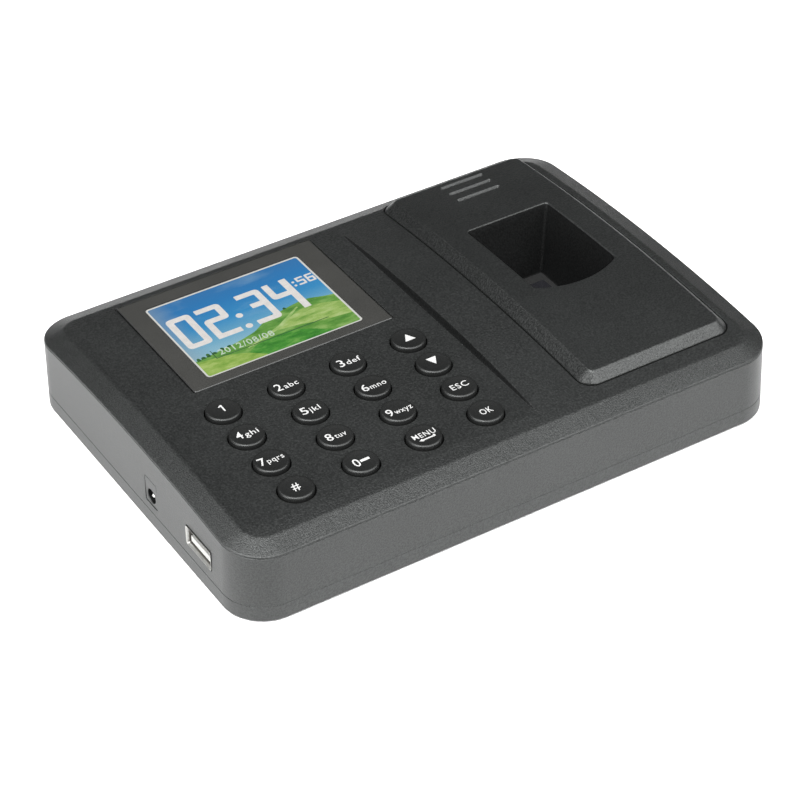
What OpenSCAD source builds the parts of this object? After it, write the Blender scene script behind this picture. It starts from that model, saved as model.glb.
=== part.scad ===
// Desktop fingerprint terminal, lying on its back.
// Frame: origin on the ground under the middle of the body, +X along the long side,
// +Y towards the top of the screen, +Z up. Millimetres.

/* [Body] */
// Width across the tops of the side walls
body_w = 169.4; // [165:0.1:175]
// Depth across the tops of the front and back walls
body_d = 122; // [119:0.1:125]
// How far each wall leans out at the base
draft = 0.5; // [0.2:0.1:1]
// Radius of the four vertical corners
corner_r = 12; // [10:0.5:14]
// Height of the arched top surface at the front and back walls, above the ground
edge_z = 23; // [22:0.1:24]
// Rise of the arched top from the walls to the middle
crown = 3.2; // [2.8:0.1:3.6]
// Width of the shallow chamfer round the top
cham_w = 5.6; // [5:0.1:6.2]
// Drop of that chamfer
cham_h = 1.6; // [1.2:0.1:2]
// Thickness of the side walls
wall = 2.2; // [1.8:0.1:2.6]
// Height of the parting line between housing and bottom cover
part_z = 5.2; // [5:0.1:5.6]
// Shadow gap along the parting line
part_gap = 0.3; // [0.2:0.1:0.4]
// How far the rubber feet stand out of the bottom cover
foot_proud = 0.4; // [0.3:0.1:0.6]

/* [Deck] */
// Height of the flat deck that carries screen and keys
deck_z = 24; // [23.8:0.1:24.4]
// Height of the ceiling under the deck
ceil_z = 21.3; // [21.1:0.1:21.5]
// Where the deck ends, at the top of the step up to the arch
step_x = 11.4; // [11:0.1:12]
// How far the step's wall leans
step_lean = 0.5; // [0.2:0.1:0.8]

/* [Screen] */
// Window width
win_w = 63.2; // [62:0.1:64]
// Window height
win_d = 46.4; // [45:0.1:47]
// Window centre, X
win_x = -30.1; // [-31:0.1:-29]
// Window centre, Y
win_y = 30.1; // [29:0.1:31]
// Window thickness
win_t = 0.8; // [0.6:0.1:1.6]
// Active picture width, a 2.4 inch display
lcd_aw = 48.96; // [48:0.01:49]
// Active picture height
lcd_ad = 36.72; // [36:0.01:37]
// Active picture centre, X
lcd_ax = -29.9; // [-30.4:0.1:-29]
// Active picture centre, Y
lcd_ay = 30.4; // [30:0.1:31.2]
// Display module width
lcd_w = 59.6; // [59:0.1:60]
// Display module height
lcd_d = 42.6; // [42:0.1:43]
// Display module centre, X
lcd_x = -30.8; // [-31:0.1:-30.6]
// Display module centre, Y
lcd_y = 30.8; // [30.6:0.1:31]

/* [Keys] */
// Centre of the first key, X
key_x0 = -59.2; // [-60:0.1:-58]
// Centre of the first key, Y
key_y0 = -5.1; // [-5.6:0.1:-4.8]
// Column pitch
key_px = 19.4; // [19:0.1:19.6]
// Row pitch
key_py = 12.9; // [12.7:0.1:13]
// Radius of a key cap
key_r = 4.85; // [4.7:0.05:4.9]
// Clearance round a key cap
key_gap = 0.35; // [0.3:0.05:0.4]
// How far a cap stands above the deck
key_h = 1.3; // [1:0.1:1.6]
// Key travel
key_travel = 1; // [0.8:0.1:1]

/* [Finger panel] */
// Left edge at the base
fp_x0 = 27.5; // [27:0.1:28]
// Right edge at the base
fp_x1 = 76.8; // [76:0.1:77]
// Front edge at the base
fp_y0 = -49.4; // [-50:0.1:-49]
// Back edge at the base
fp_y1 = 56.6; // [56:0.1:57]
// Height above the arched top
fp_h = 2.5; // [2.2:0.1:2.8]
// Width of the left bevel
fp_bl = 3.1; // [2.5:0.1:3.3]
// Width of the front, right and back bevels
fp_b = 2.5; // [2:0.1:2.7]
// Corner radius at the base
fp_r = 4.4; // [4:0.1:5]
// Gap between the panel and the pocket it sits in
fp_gap = 0.5; // [0.4:0.05:0.6]
// Well: middle of its width
well_x = 52.5; // [52:0.1:53]
// Well: width at the top
well_w = 28; // [27:0.1:28.5]
// Well: back edge at the top
well_y1 = 26.4; // [26:0.1:27]
// Well: radius of the rounded front edge
well_r = 26.5; // [26:0.1:28]
// Well: front-most point of the rounded edge
well_y0 = -12.2; // [-12.6:0.1:-12]
// Well: height of the sensor face at the floor
well_z = 8; // [7.8:0.1:8.2]
// Well: how far each wall comes in from top to floor
well_in = 4.9; // [4:0.1:5.2]

/* [Ports] */
// USB socket centre, Y
usb_y = -37.1; // [-38:0.1:-36]
// USB socket centre, Z
usb_z = 11.8; // [11.6:0.1:12]
// DC inlet centre, Y
dc_y = -10.7; // [-11.5:0.1:-10]
// DC inlet centre, Z
dc_z = 10.6; // [10.4:0.1:10.8]

/* [Boards] */
// Height of the top of the main board
pcb_z = 7.8; // [7.6:0.1:8]
// Main board thickness
pcb_t = 1.6; // [1.4:0.1:1.6]
// Height of the top of the keypad board
kpcb_z = 17.4; // [17.3:0.1:17.5]

/* [Hidden] */
$fn = 48;

half_w = body_w / 2;
half_d = body_d / 2;
arch_r = (half_d * half_d + crown * crown) / (2 * crown);
axis_z = edge_z + crown - arch_r;
base_z = foot_proud;
lcd_top = deck_z - win_t - 0.3;
floor_t = 2;
floor_z = base_z + floor_t;
post_x = 75;
post_y = 51.5;
foot_x = 60;
foot_y = 46;
key_hole_r = key_r + key_gap;
spk_x = 53.2;
spk_y = 44;
spk_z = 22.4;
well_cy = well_y0 + well_r;
pcb_x0 = -79;
pcb_x1 = 30;
pcb_y0 = -46;
pcb_y1 = 46;
pcb_holes = [[-62, -41], [-62, 41], [24, -41], [24, 41]];
kp_holes = [[-69, -11.5], [-69, -37.3], [8, -11.5], [8, -37.3], [-30.1, -24.4]];
lcd_posts = [[-65.5, 14], [-65.5, 48], [5.5, 14], [5.5, 48]];
cap_spots = [[-44, 30], [-34, 30], [-44, 20]];
wall_holes = [[-35, -30], [35, -30], [-35, 30], [35, 30]];

function arch_z(y) = axis_z + sqrt(arch_r * arch_r - y * y);

// ---------- building blocks ----------

// Rounded rectangle from corner to corner, as an exact outline.
module round_rect(x0, x1, y0, y1, r) {
    translate([x0 + r, y0]) square([x1 - x0 - 2 * r, y1 - y0]);
    translate([x0, y0 + r]) square([x1 - x0, y1 - y0 - 2 * r]);
    for (x = [x0 + r, x1 - r], y = [y0 + r, y1 - r]) translate([x, y]) circle(r);
}

// The same outline as a prism between two heights.
module slab(x0, x1, y0, y1, r, z0, z1) {
    translate([0, 0, z0]) linear_extrude(z1 - z0) round_rect(x0, x1, y0, y1, r);
}

// An outline in the YZ plane, extruded from x0 to x1.
module along_x(x0, x1) {
    translate([x0, 0, 0]) rotate([90, 0, 90]) linear_extrude(x1 - x0) children();
}

// An outline in the XZ plane, extruded from y0 to y1.
module along_y(y0, y1) {
    translate([0, y1, 0]) rotate([90, 0, 0]) linear_extrude(y1 - y0) children();
}

// Everything under the arched surface, which is a cylinder along X raised by dz.
module under_arch(x0, x1, dz) {
    translate([x0, 0, axis_z]) rotate([0, 90, 0]) cylinder(r = arch_r + dz, h = x1 - x0, $fn = 720);
}

// The arched surface with a bevel down to each end: a cone, a cylinder and a cone on one axis.
module bevelled_arch(x0, x1, bl, br, dz, bh) {
    e = 3;
    r = arch_r + dz;
    translate([0, 0, axis_z]) rotate([0, 90, 0]) rotate_extrude($fn = 720)
        polygon([[0, x0 - e], [r - bh - e * bh / bl, x0 - e], [r, x0 + bl],
            [r, x1 - br], [r - bh - e * bh / br, x1 + e], [0, x1 + e]]);
}

// Front and back bevels as one outline in YZ, open above the arch.
module bevel_outline(y0, y1, bf, bb, dz, bh, zlow) {
    e = 3;
    zf = arch_z(y0) + dz - bh;
    zfi = arch_z(y0 + bf) + dz;
    zb = arch_z(y1) + dz - bh;
    zbi = arch_z(y1 - bb) + dz;
    polygon([[y0 - e, zlow], [y1 + e, zlow], [y1 + e, zb - (zbi - zb) * e / bb], [y1 - bb, zbi],
        [y1 - bb, zbi + 20], [y0 + bf, zbi + 20], [y0 + bf, zfi], [y0 - e, zf - (zfi - zf) * e / bf]]);
}

// What a rounded corner's bevel takes away: the corner's block less a cone that stands square
// on the arch.
module corner_bevel_cut(cx, cy, sx, sy, r, b, dz, bh) {
    tilt = asin(cy / arch_r);
    low = 4 * bh;
    difference() {
        translate([sx > 0 ? cx : cx - r - 3, sy > 0 ? cy : cy - r - 3, arch_z(cy) + dz - 3.2 * bh])
            cube([r + 3, r + 3, 3.2 * bh + 6]);
        translate([cx, cy, arch_z(cy) + dz]) rotate([-tilt, 0, 0]) {
            translate([0, 0, -low]) cylinder(r1 = r - b + low * b / bh, r2 = r - b, h = low, $fn = 96);
            translate([0, 0, -low]) cylinder(r = r - b, h = low + 3, $fn = 96);
        }
    }
}

// The drafted side walls of the body between two heights.
module body_block(z0, z1, inset) {
    g0 = draft * (edge_z - z0) / edge_z - inset;
    g1 = draft * (edge_z - z1) / edge_z - inset;
    cx = half_w - corner_r;
    cy = half_d - corner_r;
    for (sx = [-1, 1], sy = [-1, 1]) translate([sx * cx, sy * cy, z0])
        cylinder(r1 = corner_r + g0, r2 = corner_r + g1, h = z1 - z0, $fn = 96);
    along_y(-cy, cy) polygon([[-half_w - g0, z0], [half_w + g0, z0], [half_w + g1, z1], [-half_w - g1, z1]]);
    along_x(-cx, cx) polygon([[-half_d - g0, z0], [half_d + g0, z0], [half_d + g1, z1], [-half_d - g1, z1]]);
}

module post(x, y, r, z0, z1) {
    translate([x, y, z0]) cylinder(r = r, h = z1 - z0);
}

// ---------- casing ----------

module upper_housing() color([0.05, 0.05, 0.055]) difference() {
    union() {
        difference() {
            intersection() {
                body_block(part_z + part_gap, arch_z(0) + 1, 0);
                bevelled_arch(-half_w, half_w, cham_w, cham_w, 0, cham_h);
                along_x(-half_w - 2, half_w + 2) bevel_outline(-half_d, half_d, cham_w, cham_w, 0, cham_h, 0);
            }
            for (sx = [-1, 1], sy = [-1, 1])
                corner_bevel_cut(sx * (half_w - corner_r), sy * (half_d - corner_r), sx, sy, corner_r,
                    cham_w, 0, cham_h);
            // hollow inside
            body_block(0, ceil_z - 1.3, wall);
            slab(-half_w + 7, half_w - 7, -half_d + 7, half_d - 7, 6, 0, ceil_z);
            // flat deck cut into the arch, with a leaning step on its right
            along_y(-half_d - 2, half_d + 2) polygon([[-half_w + cham_w + 0.8, deck_z], [step_x - step_lean, deck_z],
                [step_x + step_lean, deck_z + 4.4], [-half_w + cham_w + 0.8, deck_z + 4.4]]);
            // pocket that the finger cover drops into
            difference() {
                slab(fp_x0 - fp_gap, fp_x1 + fp_gap, fp_y0 - fp_gap, fp_y1 + fp_gap, fp_r + fp_gap, 18, 32);
                under_arch(fp_x0 - 2, fp_x1 + 2, -1.2);
            }
            slab(fp_x0 + 3.4, fp_x1 - 3.4, fp_y0 + 3.4, fp_y1 - 3.8, 3, 18, 32);
        }
        // posts for the long screws
        for (sx = [-1, 1], sy = [-1, 1]) post(sx * post_x, sy * post_y, 3.8, part_z, ceil_z - 0.5);
        // posts for the keypad board and the display holder
        for (p = kp_holes) post(p[0], p[1], 2.6, kpcb_z, ceil_z + 0.2);
        for (p = lcd_posts) post(p[0], p[1], 2.6, 19.6, ceil_z + 0.2);
    }
    // window recess and display opening
    slab(win_x - win_w / 2 - 0.2, win_x + win_w / 2 + 0.2, win_y - win_d / 2 - 0.2, win_y + win_d / 2 + 0.2,
        0.8, deck_z - win_t, deck_z + 5);
    slab(lcd_x - lcd_w / 2 - 0.2, lcd_x + lcd_w / 2 + 0.2, lcd_y - lcd_d / 2 - 0.2, lcd_y + lcd_d / 2 + 0.2,
        0.6, 15, deck_z + 5);
    // key holes
    for (i = [0:3], j = [0:3])
        translate([key_x0 + i * key_px, key_y0 - j * key_py, 15]) cylinder(r = key_hole_r, h = 15, $fn = 64);
    // screw pilots
    for (sx = [-1, 1], sy = [-1, 1]) post(sx * post_x, sy * post_y, 1.3, part_z - 1, 17);
    for (p = kp_holes) post(p[0], p[1], 1, kpcb_z - 1, ceil_z + 0.4);
    for (p = lcd_posts) post(p[0], p[1], 1, 19, ceil_z + 0.4);
    // USB cut-out and DC inlet cut-out in the left wall
    translate([-half_w - 3, usb_y - 6.75, usb_z - 3.25]) cube([8, 13.5, 6.5]);
    translate([-half_w - 3, dc_y - 3.3, dc_z - 3.2]) cube([8, 6.6, 8.7]);
}

module well_block(grow, z0, z1) {
    // walls lean in by well_in from the panel top to the floor
    top = arch_z(0) + fp_h;
    k = well_in / (top - well_z);
    a0 = grow - k * (top - z0);
    a1 = grow - k * (top - z1);
    intersection() {
        along_y(well_y0 - 20, well_y1 + 20) polygon([[well_x - well_w / 2 - a0, z0], [well_x + well_w / 2 + a0, z0],
            [well_x + well_w / 2 + a1, z1], [well_x - well_w / 2 - a1, z1]]);
        along_x(well_x - 40, well_x + 40) polygon([[well_y0 - 20, z0], [well_y1 + a0, z0],
            [well_y1 + a1, z1], [well_y0 - 20, z1]]);
        translate([well_x, well_cy, z0]) cylinder(r1 = well_r + a0, r2 = well_r + a1, h = z1 - z0, $fn = 128);
    }
}

module finger_cover() color([0.05, 0.05, 0.055]) difference() {
    union() {
        difference() {
            intersection() {
                slab(fp_x0, fp_x1, fp_y0, fp_y1, fp_r, 15, 34);
                bevelled_arch(fp_x0, fp_x1, fp_bl, fp_b, fp_h, fp_h);
                along_x(fp_x0 - 1, fp_x1 + 1) bevel_outline(fp_y0, fp_y1, fp_b, fp_b, fp_h, fp_h, 10);
            }
            for (sx = [-1, 1], sy = [-1, 1])
                corner_bevel_cut(sx < 0 ? fp_x0 + fp_r : fp_x1 - fp_r, sy < 0 ? fp_y0 + fp_r : fp_y1 - fp_r,
                    sx, sy, fp_r + 0.03, fp_b, fp_h, fp_h);
            under_arch(fp_x0 - 5, fp_x1 + 5, -1.2);
            intersection() {
                slab(fp_x0 + 5, fp_x1 - 5, fp_y0 + 5, fp_y1 - 3.3, 3, 15, 34);
                under_arch(fp_x0 - 5, fp_x1 + 5, 0.5);
            }
        }
        // collar round the well
        intersection() {
            well_block(1.6, well_z + 0.2, 31);
            under_arch(fp_x0 - 5, fp_x1 + 5, 1.6);
        }
        // ring that seats the loudspeaker
        intersection() {
            post(spk_x, spk_y, 8.4, spk_z, 28);
            under_arch(fp_x0 - 5, fp_x1 + 5, 1.6);
        }
    }
    well_block(0, well_z - 1, 32);
    post(spk_x, spk_y, 7.2, spk_z - 1, 24.4);
    // three sound slots
    for (i = [-1, 0, 1]) translate([spk_x, 46.9 + i * 4.5, 20]) linear_extrude(12) {
        square([13.2, 1.7], center = true);
        for (s = [-1, 1]) translate([s * 6.6, 0]) circle(0.85);
    }
}

module bottom_cover() color([0.055, 0.055, 0.06]) difference() {
    union() {
        difference() {
            body_block(base_z, part_z, 0);
            body_block(floor_z, part_z + 1, wall);
        }
        // lip that locates inside the upper housing
        difference() {
            slab(-half_w + wall, half_w - wall, -half_d + wall, half_d - wall, corner_r - wall, floor_z - 0.5, part_z + 1.5);
            slab(-half_w + wall + 1.2, half_w - wall - 1.2, -half_d + wall + 1.2, half_d - wall - 1.2,
                corner_r - wall - 1.2, floor_z - 1, part_z + 2);
        }
        for (sx = [-1, 1], sy = [-1, 1]) post(sx * post_x, sy * post_y, 4.6, floor_z - 0.5, part_z);
        for (p = pcb_holes) post(p[0], p[1], 3.2, floor_z - 0.5, pcb_z - pcb_t);
        for (p = wall_holes) post(p[0], p[1], 3.6, floor_z - 0.5, 5.4);
        // cradle under the sensor module
        translate([well_x - 11, -34, floor_z - 0.5]) cube([22, 4, 1.1]);
        translate([well_x - 11, 14, floor_z - 0.5]) cube([22, 4, 1.1]);
    }
    // sunk holes for the long screws
    for (sx = [-1, 1], sy = [-1, 1]) {
        post(sx * post_x, sy * post_y, 3.3, 0, 3.2);
        post(sx * post_x, sy * post_y, 1.7, 0, part_z + 2);
    }
    for (p = pcb_holes) post(p[0], p[1], 1.3, floor_z, pcb_z);
    // four blind holes for a wall plate
    for (p = wall_holes) post(p[0], p[1], 1.6, 0, 4.6);
    // seats for the rubber feet
    for (sx = [-1, 1], sy = [-1, 1]) post(sx * foot_x, sy * foot_y, 6.1, 0, base_z + 1);
    // shallow blank panel for a rating label
    slab(-28, 28, -16, 16, 1.5, 0, base_z + 0.3);
}

module rubber_feet() color([0.03, 0.03, 0.03])
    for (sx = [-1, 1], sy = [-1, 1]) post(sx * foot_x, sy * foot_y, 6, 0, base_z + 1);

module housing_screws() color([0.6, 0.6, 0.62])
    for (sx = [-1, 1], sy = [-1, 1]) {
        difference() {
            post(sx * post_x, sy * post_y, 3, 1.4, 3.2);
            for (a = [0, 90]) translate([sx * post_x, sy * post_y, 1.6]) rotate([0, 0, a]) cube([3.6, 0.8, 1.6], center = true);
        }
        post(sx * post_x, sy * post_y, 1.25, 3.2, 15);
    }

// ---------- screen ----------

module screen_window() color([0.75, 0.8, 0.8, 0.4])
    slab(win_x - win_w / 2, win_x + win_w / 2, win_y - win_d / 2, win_y + win_d / 2, 0.6, deck_z - win_t, deck_z);

module lcd_bezel() color([0.25, 0.24, 0.23]) difference() {
    slab(lcd_x - lcd_w / 2, lcd_x + lcd_w / 2, lcd_y - lcd_d / 2, lcd_y + lcd_d / 2, 0.5, 19.9, deck_z - win_t);
    translate([lcd_x - lcd_w / 2 + 0.4, lcd_y - lcd_d / 2 + 0.4, 19]) cube([lcd_w - 0.8, lcd_d - 0.8, lcd_top - 19]);
    translate([lcd_ax - lcd_aw / 2 - 0.6, lcd_ay - lcd_ad / 2 - 0.6, 19]) cube([lcd_aw + 1.2, lcd_ad + 1.2, 6]);
}

module lcd_glass() color([0.25, 0.5, 0.9])
    translate([lcd_x - lcd_w / 2 + 0.5, lcd_y - lcd_d / 2 + 0.5, lcd_top - 1]) cube([lcd_w - 1, lcd_d - 1, 1]);

module lcd_backlight() color([0.95, 0.95, 0.95])
    translate([lcd_x - lcd_w / 2 + 0.5, lcd_y - lcd_d / 2 + 0.5, 19.9]) cube([lcd_w - 1, lcd_d - 1, lcd_top - 20.9]);

module lcd_holder() color([0.15, 0.15, 0.16]) difference() {
    slab(-69, 9, lcd_y - lcd_d / 2 - 1, lcd_y + lcd_d / 2 + 1, 3, 18.4, 19.6);
    translate([lcd_x - 24, lcd_y - 16, 17]) cube([48, 32, 4]);
    for (p = lcd_posts) post(p[0], p[1], 1.2, 17, 21);
}

module lcd_flex() color([0.75, 0.45, 0.1])
    along_x(-45, -33) polygon([[9.4, 21.2], [8, 21.2], [8, 9.8], [8.3, 9.8], [8.3, 20.9], [9.4, 20.9]]);

// ---------- keypad ----------

module key_cap(i, j) color([0.07, 0.07, 0.075]) translate([key_x0 + i * key_px, key_y0 - j * key_py, 0])
    rotate_extrude($fn = 64) polygon([[0, 18.9], [1.6, 18.9], [1.6, 20.3], [5.9, 20.3], [5.9, 21.1], [key_r, 21.1],
        [key_r, deck_z + key_h - 0.5], [key_r - 0.5, deck_z + key_h], [key_r - 1.2, deck_z + key_h - 0.1],
        [0, deck_z + key_h - 0.25]]);

module key_1() key_cap(0, 0);
module key_2() key_cap(1, 0);
module key_3() key_cap(2, 0);
module key_up() key_cap(3, 0);
module key_4() key_cap(0, 1);
module key_5() key_cap(1, 1);
module key_6() key_cap(2, 1);
module key_down() key_cap(3, 1);
module key_7() key_cap(0, 2);
module key_8() key_cap(1, 2);
module key_9() key_cap(2, 2);
module key_esc() key_cap(3, 2);
module key_hash() key_cap(0, 3);
module key_0() key_cap(1, 3);
module key_menu() key_cap(2, 3);
module key_ok() key_cap(3, 3);

module keypad_mat() color([0.2, 0.2, 0.22]) difference() {
    union() {
        slab(-66, 5.2, -50.6, 2, 2, kpcb_z, kpcb_z + 0.6);
        for (i = [0:3], j = [0:3]) post(key_x0 + i * key_px, key_y0 - j * key_py, 4.4, kpcb_z, 19.1);
    }
    for (i = [0:3], j = [0:3]) post(key_x0 + i * key_px, key_y0 - j * key_py, 3, kpcb_z - 1, 21);
    post(kp_holes[4][0], kp_holes[4][1], 2.8, kpcb_z - 1, 21);
}

module keypad_board() color([0.1, 0.35, 0.15]) difference() {
    slab(-72, 11, -51, 4, 2, kpcb_z - 1.2, kpcb_z);
    for (p = kp_holes) post(p[0], p[1], 1.2, kpcb_z - 2, kpcb_z + 1);
}

module dome_switches() color([0.8, 0.7, 0.4])
    for (i = [0:3], j = [0:3]) translate([key_x0 + i * key_px, key_y0 - j * key_py, kpcb_z])
        cylinder(r1 = 2.5, r2 = 1.2, h = 0.3);

module keypad_screws() color([0.7, 0.7, 0.72]) {
    for (p = kp_holes) {
        post(p[0], p[1], 2.1, kpcb_z - 2.6, kpcb_z - 1.2);
        post(p[0], p[1], 0.95, kpcb_z - 1.2, 20.8);
    }
    for (p = lcd_posts) {
        post(p[0], p[1], 2.1, 17, 18.4);
        post(p[0], p[1], 0.95, 18.4, 21);
    }
}

module keypad_flex() color([0.75, 0.45, 0.1])
    along_x(-6, 4) polygon([[-45.4, 16.2], [-45, 16.2], [-45, 14], [-43.1, 12], [-43.1, 9.8], [-43.4, 9.8],
        [-43.4, 11.9], [-45.4, 13.9]]);

// ---------- main board ----------

module main_board() color([0.08, 0.32, 0.14]) difference() {
    slab(pcb_x0, pcb_x1, pcb_y0, pcb_y1, 2, pcb_z - pcb_t, pcb_z);
    for (p = pcb_holes) post(p[0], p[1], 1.6, pcb_z - 3, pcb_z + 1);
}

module board_screws() color([0.7, 0.7, 0.72])
    for (p = pcb_holes) {
        post(p[0], p[1], 2.7, pcb_z, pcb_z + 1.6);
        post(p[0], p[1], 1.25, floor_z + 0.3, pcb_z);
    }

module integrated_circuits() color([0.04, 0.04, 0.045]) {
    translate([-24, -18, pcb_z]) cube([20, 20, 1.4]);
    translate([4, -14, pcb_z]) cube([12, 8, 1.1]);
    translate([4, 2, pcb_z]) cube([8, 12, 1.1]);
    translate([-52, -16, pcb_z]) cube([10, 10, 1.2]);
}

module electrolytic_capacitors() color([0.1, 0.12, 0.2])
    for (p = cap_spots) post(p[0], p[1], 3.1, pcb_z, pcb_z + 7);

module crystal_can() color([0.75, 0.75, 0.77])
    slab(-18, -7, 8, 12, 1.9, pcb_z, pcb_z + 3.4);

module buzzer() color([0.03, 0.03, 0.03]) difference() {
    post(14, 28, 6, pcb_z, pcb_z + 6.5);
    post(14, 28, 1, pcb_z + 4, pcb_z + 8);
}

module flex_connectors() color([0.9, 0.88, 0.8]) {
    translate([-47, 6.2, pcb_z]) cube([16, 4, 2]);
    translate([-8, -45.3, pcb_z]) cube([14, 4, 2]);
    translate([22, -35, pcb_z]) cube([5, 10, 2]);
}

module coin_cell_holder() color([0.05, 0.05, 0.05]) difference() {
    post(-6, 32, 12, pcb_z, pcb_z + 4.4);
    post(-6, 32, 10.3, pcb_z + 0.8, pcb_z + 6);
}

module coin_cell() color([0.78, 0.78, 0.8])
    post(-6, 32, 10.1, pcb_z + 0.8, pcb_z + 4);

// ---------- ports ----------

module usb_shell() color([0.75, 0.75, 0.76]) difference() {
    union() {
        translate([-half_w - 0.45, usb_y - 6.55, usb_z - 2.95]) cube([14.55, 13.1, 5.9]);
        // legs down to the board
        for (s = [-1, 1]) translate([-76, usb_y + s * 5.9 - 0.5, pcb_z]) cube([3, 1, 2]);
    }
    translate([-half_w - 1, usb_y - 6.25, usb_z - 2.6]) cube([14.8, 12.5, 5.2]);
}

module usb_tongue() color([0.92, 0.92, 0.9]) {
    translate([-half_w + 0.5, usb_y - 5.6, usb_z - 1.9]) cube([12.2, 11.2, 1.7]);
    translate([-half_w + 11.6, usb_y - 6.25, usb_z - 2.6]) cube([2.2, 12.5, 5.2]);
}

module usb_contacts() color([0.85, 0.7, 0.3])
    for (i = [-1.5:1:1.5]) translate([-half_w + 1.4, usb_y + i * 2.25 - 0.5, usb_z - 0.2]) cube([10.2, 1, 0.15]);

module dc_jack_body() color([0.04, 0.04, 0.04]) difference() {
    translate([-half_w + 0.15, dc_y - 3.15, pcb_z]) cube([11, 6.3, 8.1]);
    translate([-half_w - 1, dc_y, dc_z]) rotate([0, 90, 0]) cylinder(r = 2.25, h = 9.4);
}

module dc_jack_pin() color([0.8, 0.8, 0.8]) translate([-half_w + 0.2, dc_y, dc_z]) rotate([0, 90, 0])
    cylinder(r = 0.65, h = 8.2);

// ---------- fingerprint module ----------

module sensor_housing() color([0.05, 0.05, 0.05]) difference() {
    union() {
        slab(well_x - 12.5, well_x + 12.5, -37, 25, 1.5, 3, well_z - 0.4);
        slab(well_x - 12.5, well_x + 12.5, -37, -16, 1.5, 3, 16);
    }
    // hollow for prism, light path and lens
    translate([well_x - 8.6, -20, 4.2]) cube([17.2, 39.4, 2.3]);
    translate([well_x - 8.6, -35.6, 4.2]) cube([17.2, 18, 10.4]);
    // window in the roof
    translate([well_x - 7.6, -4.6, 5]) cube([15.2, 22.6, 8]);
}

module sensor_prism() color([0.7, 0.85, 0.9, 0.5]) {
    translate([well_x - 7.4, -4.4, 6.5]) cube([14.8, 22.2, well_z - 6.5]);
    translate([well_x - 8.4, -5, 4.4]) cube([16.8, 24, 2.1]);
}

module sensor_lens() color([0.1, 0.1, 0.1])
    translate([well_x, -18, 9.2]) rotate([90, 0, 0]) difference() {
        cylinder(r = 3.6, h = 12);
        translate([0, 0, -1]) cylinder(r = 2.2, h = 6);
    }

module sensor_board() color([0.08, 0.3, 0.14])
    translate([well_x - 8.4, -31.2, 4.4]) cube([16.8, 1.2, 10]);

module sensor_gasket() color([0.08, 0.08, 0.08]) difference() {
    well_block(1.2, well_z - 0.4, well_z + 0.2);
    well_block(0.2, well_z - 1, well_z + 1);
}

module sensor_flex() color([0.75, 0.45, 0.1])
    along_y(-33, -27) polygon([[27, 8.6], [33, 8.6], [35, 10], [well_x - 12.5, 10], [well_x - 12.5, 10.3],
        [34.9, 10.3], [32.9, 8.9], [27, 8.9]]);

// ---------- loudspeaker ----------

module speaker_frame() color([0.5, 0.5, 0.52]) difference() {
    union() {
        post(spk_x, spk_y, 8.3, spk_z - 1, spk_z);
        post(spk_x, spk_y, 6.6, spk_z - 4, spk_z - 1);
    }
    translate([spk_x, spk_y, spk_z - 3.2]) cylinder(r1 = 4.2, r2 = 7.1, h = 3.3);
}

module speaker_cone() color([0.9, 0.88, 0.8]) translate([spk_x, spk_y, 0])
    rotate_extrude() polygon([[0, spk_z - 2.6], [3, spk_z - 2.9], [6.6, spk_z - 0.4], [6.6, spk_z - 0.2],
        [3, spk_z - 2.7], [0, spk_z - 2.4]]);

module speaker_magnet() color([0.3, 0.3, 0.32])
    post(spk_x, spk_y, 5.2, spk_z - 7.5, spk_z - 4);

module speaker_mesh() color([0.12, 0.12, 0.12])
    post(spk_x, spk_y, 7.1, 24.1, 24.4);

upper_housing();
finger_cover();
bottom_cover();
screen_window();
lcd_bezel();
lcd_glass();
lcd_backlight();
lcd_holder();
lcd_flex();
keypad_mat();
keypad_board();
dome_switches();
keypad_flex();
keypad_screws();
key_1();
key_2();
key_3();
key_up();
key_4();
key_5();
key_6();
key_down();
key_7();
key_8();
key_9();
key_esc();
key_hash();
key_0();
key_menu();
key_ok();
main_board();
integrated_circuits();
electrolytic_capacitors();
crystal_can();
buzzer();
flex_connectors();
board_screws();
coin_cell_holder();
coin_cell();
usb_shell();
usb_tongue();
usb_contacts();
dc_jack_body();
dc_jack_pin();
sensor_housing();
sensor_prism();
sensor_lens();
sensor_board();
sensor_gasket();
sensor_flex();
speaker_frame();
speaker_cone();
speaker_magnet();
speaker_mesh();
housing_screws();
rubber_feet();
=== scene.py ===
"""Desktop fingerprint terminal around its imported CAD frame. Lengths in the code are millimetres."""
import math

import bmesh
import bpy
import numpy as np
from mathutils import Matrix, Vector
from mathutils.geometry import delaunay_2d_cdt


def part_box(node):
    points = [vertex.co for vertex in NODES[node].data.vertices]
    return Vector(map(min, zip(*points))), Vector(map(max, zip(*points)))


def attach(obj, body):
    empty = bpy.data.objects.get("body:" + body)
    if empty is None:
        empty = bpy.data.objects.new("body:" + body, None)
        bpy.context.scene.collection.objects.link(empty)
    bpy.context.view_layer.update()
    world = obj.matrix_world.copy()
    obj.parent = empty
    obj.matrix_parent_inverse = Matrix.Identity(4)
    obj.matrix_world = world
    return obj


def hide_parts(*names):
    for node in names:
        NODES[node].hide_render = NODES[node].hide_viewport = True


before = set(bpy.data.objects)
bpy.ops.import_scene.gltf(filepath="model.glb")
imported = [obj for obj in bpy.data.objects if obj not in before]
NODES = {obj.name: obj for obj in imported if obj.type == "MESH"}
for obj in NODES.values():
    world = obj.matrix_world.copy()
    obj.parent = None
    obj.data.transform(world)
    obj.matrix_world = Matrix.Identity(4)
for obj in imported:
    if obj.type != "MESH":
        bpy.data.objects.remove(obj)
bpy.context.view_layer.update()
MM = 0.001
CASING = "casing"


def box(node):
    """Lowest and highest corner of a CAD node in millimetres."""
    lo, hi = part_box(node)
    return np.array(lo) / MM, np.array(hi) / MM


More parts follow.
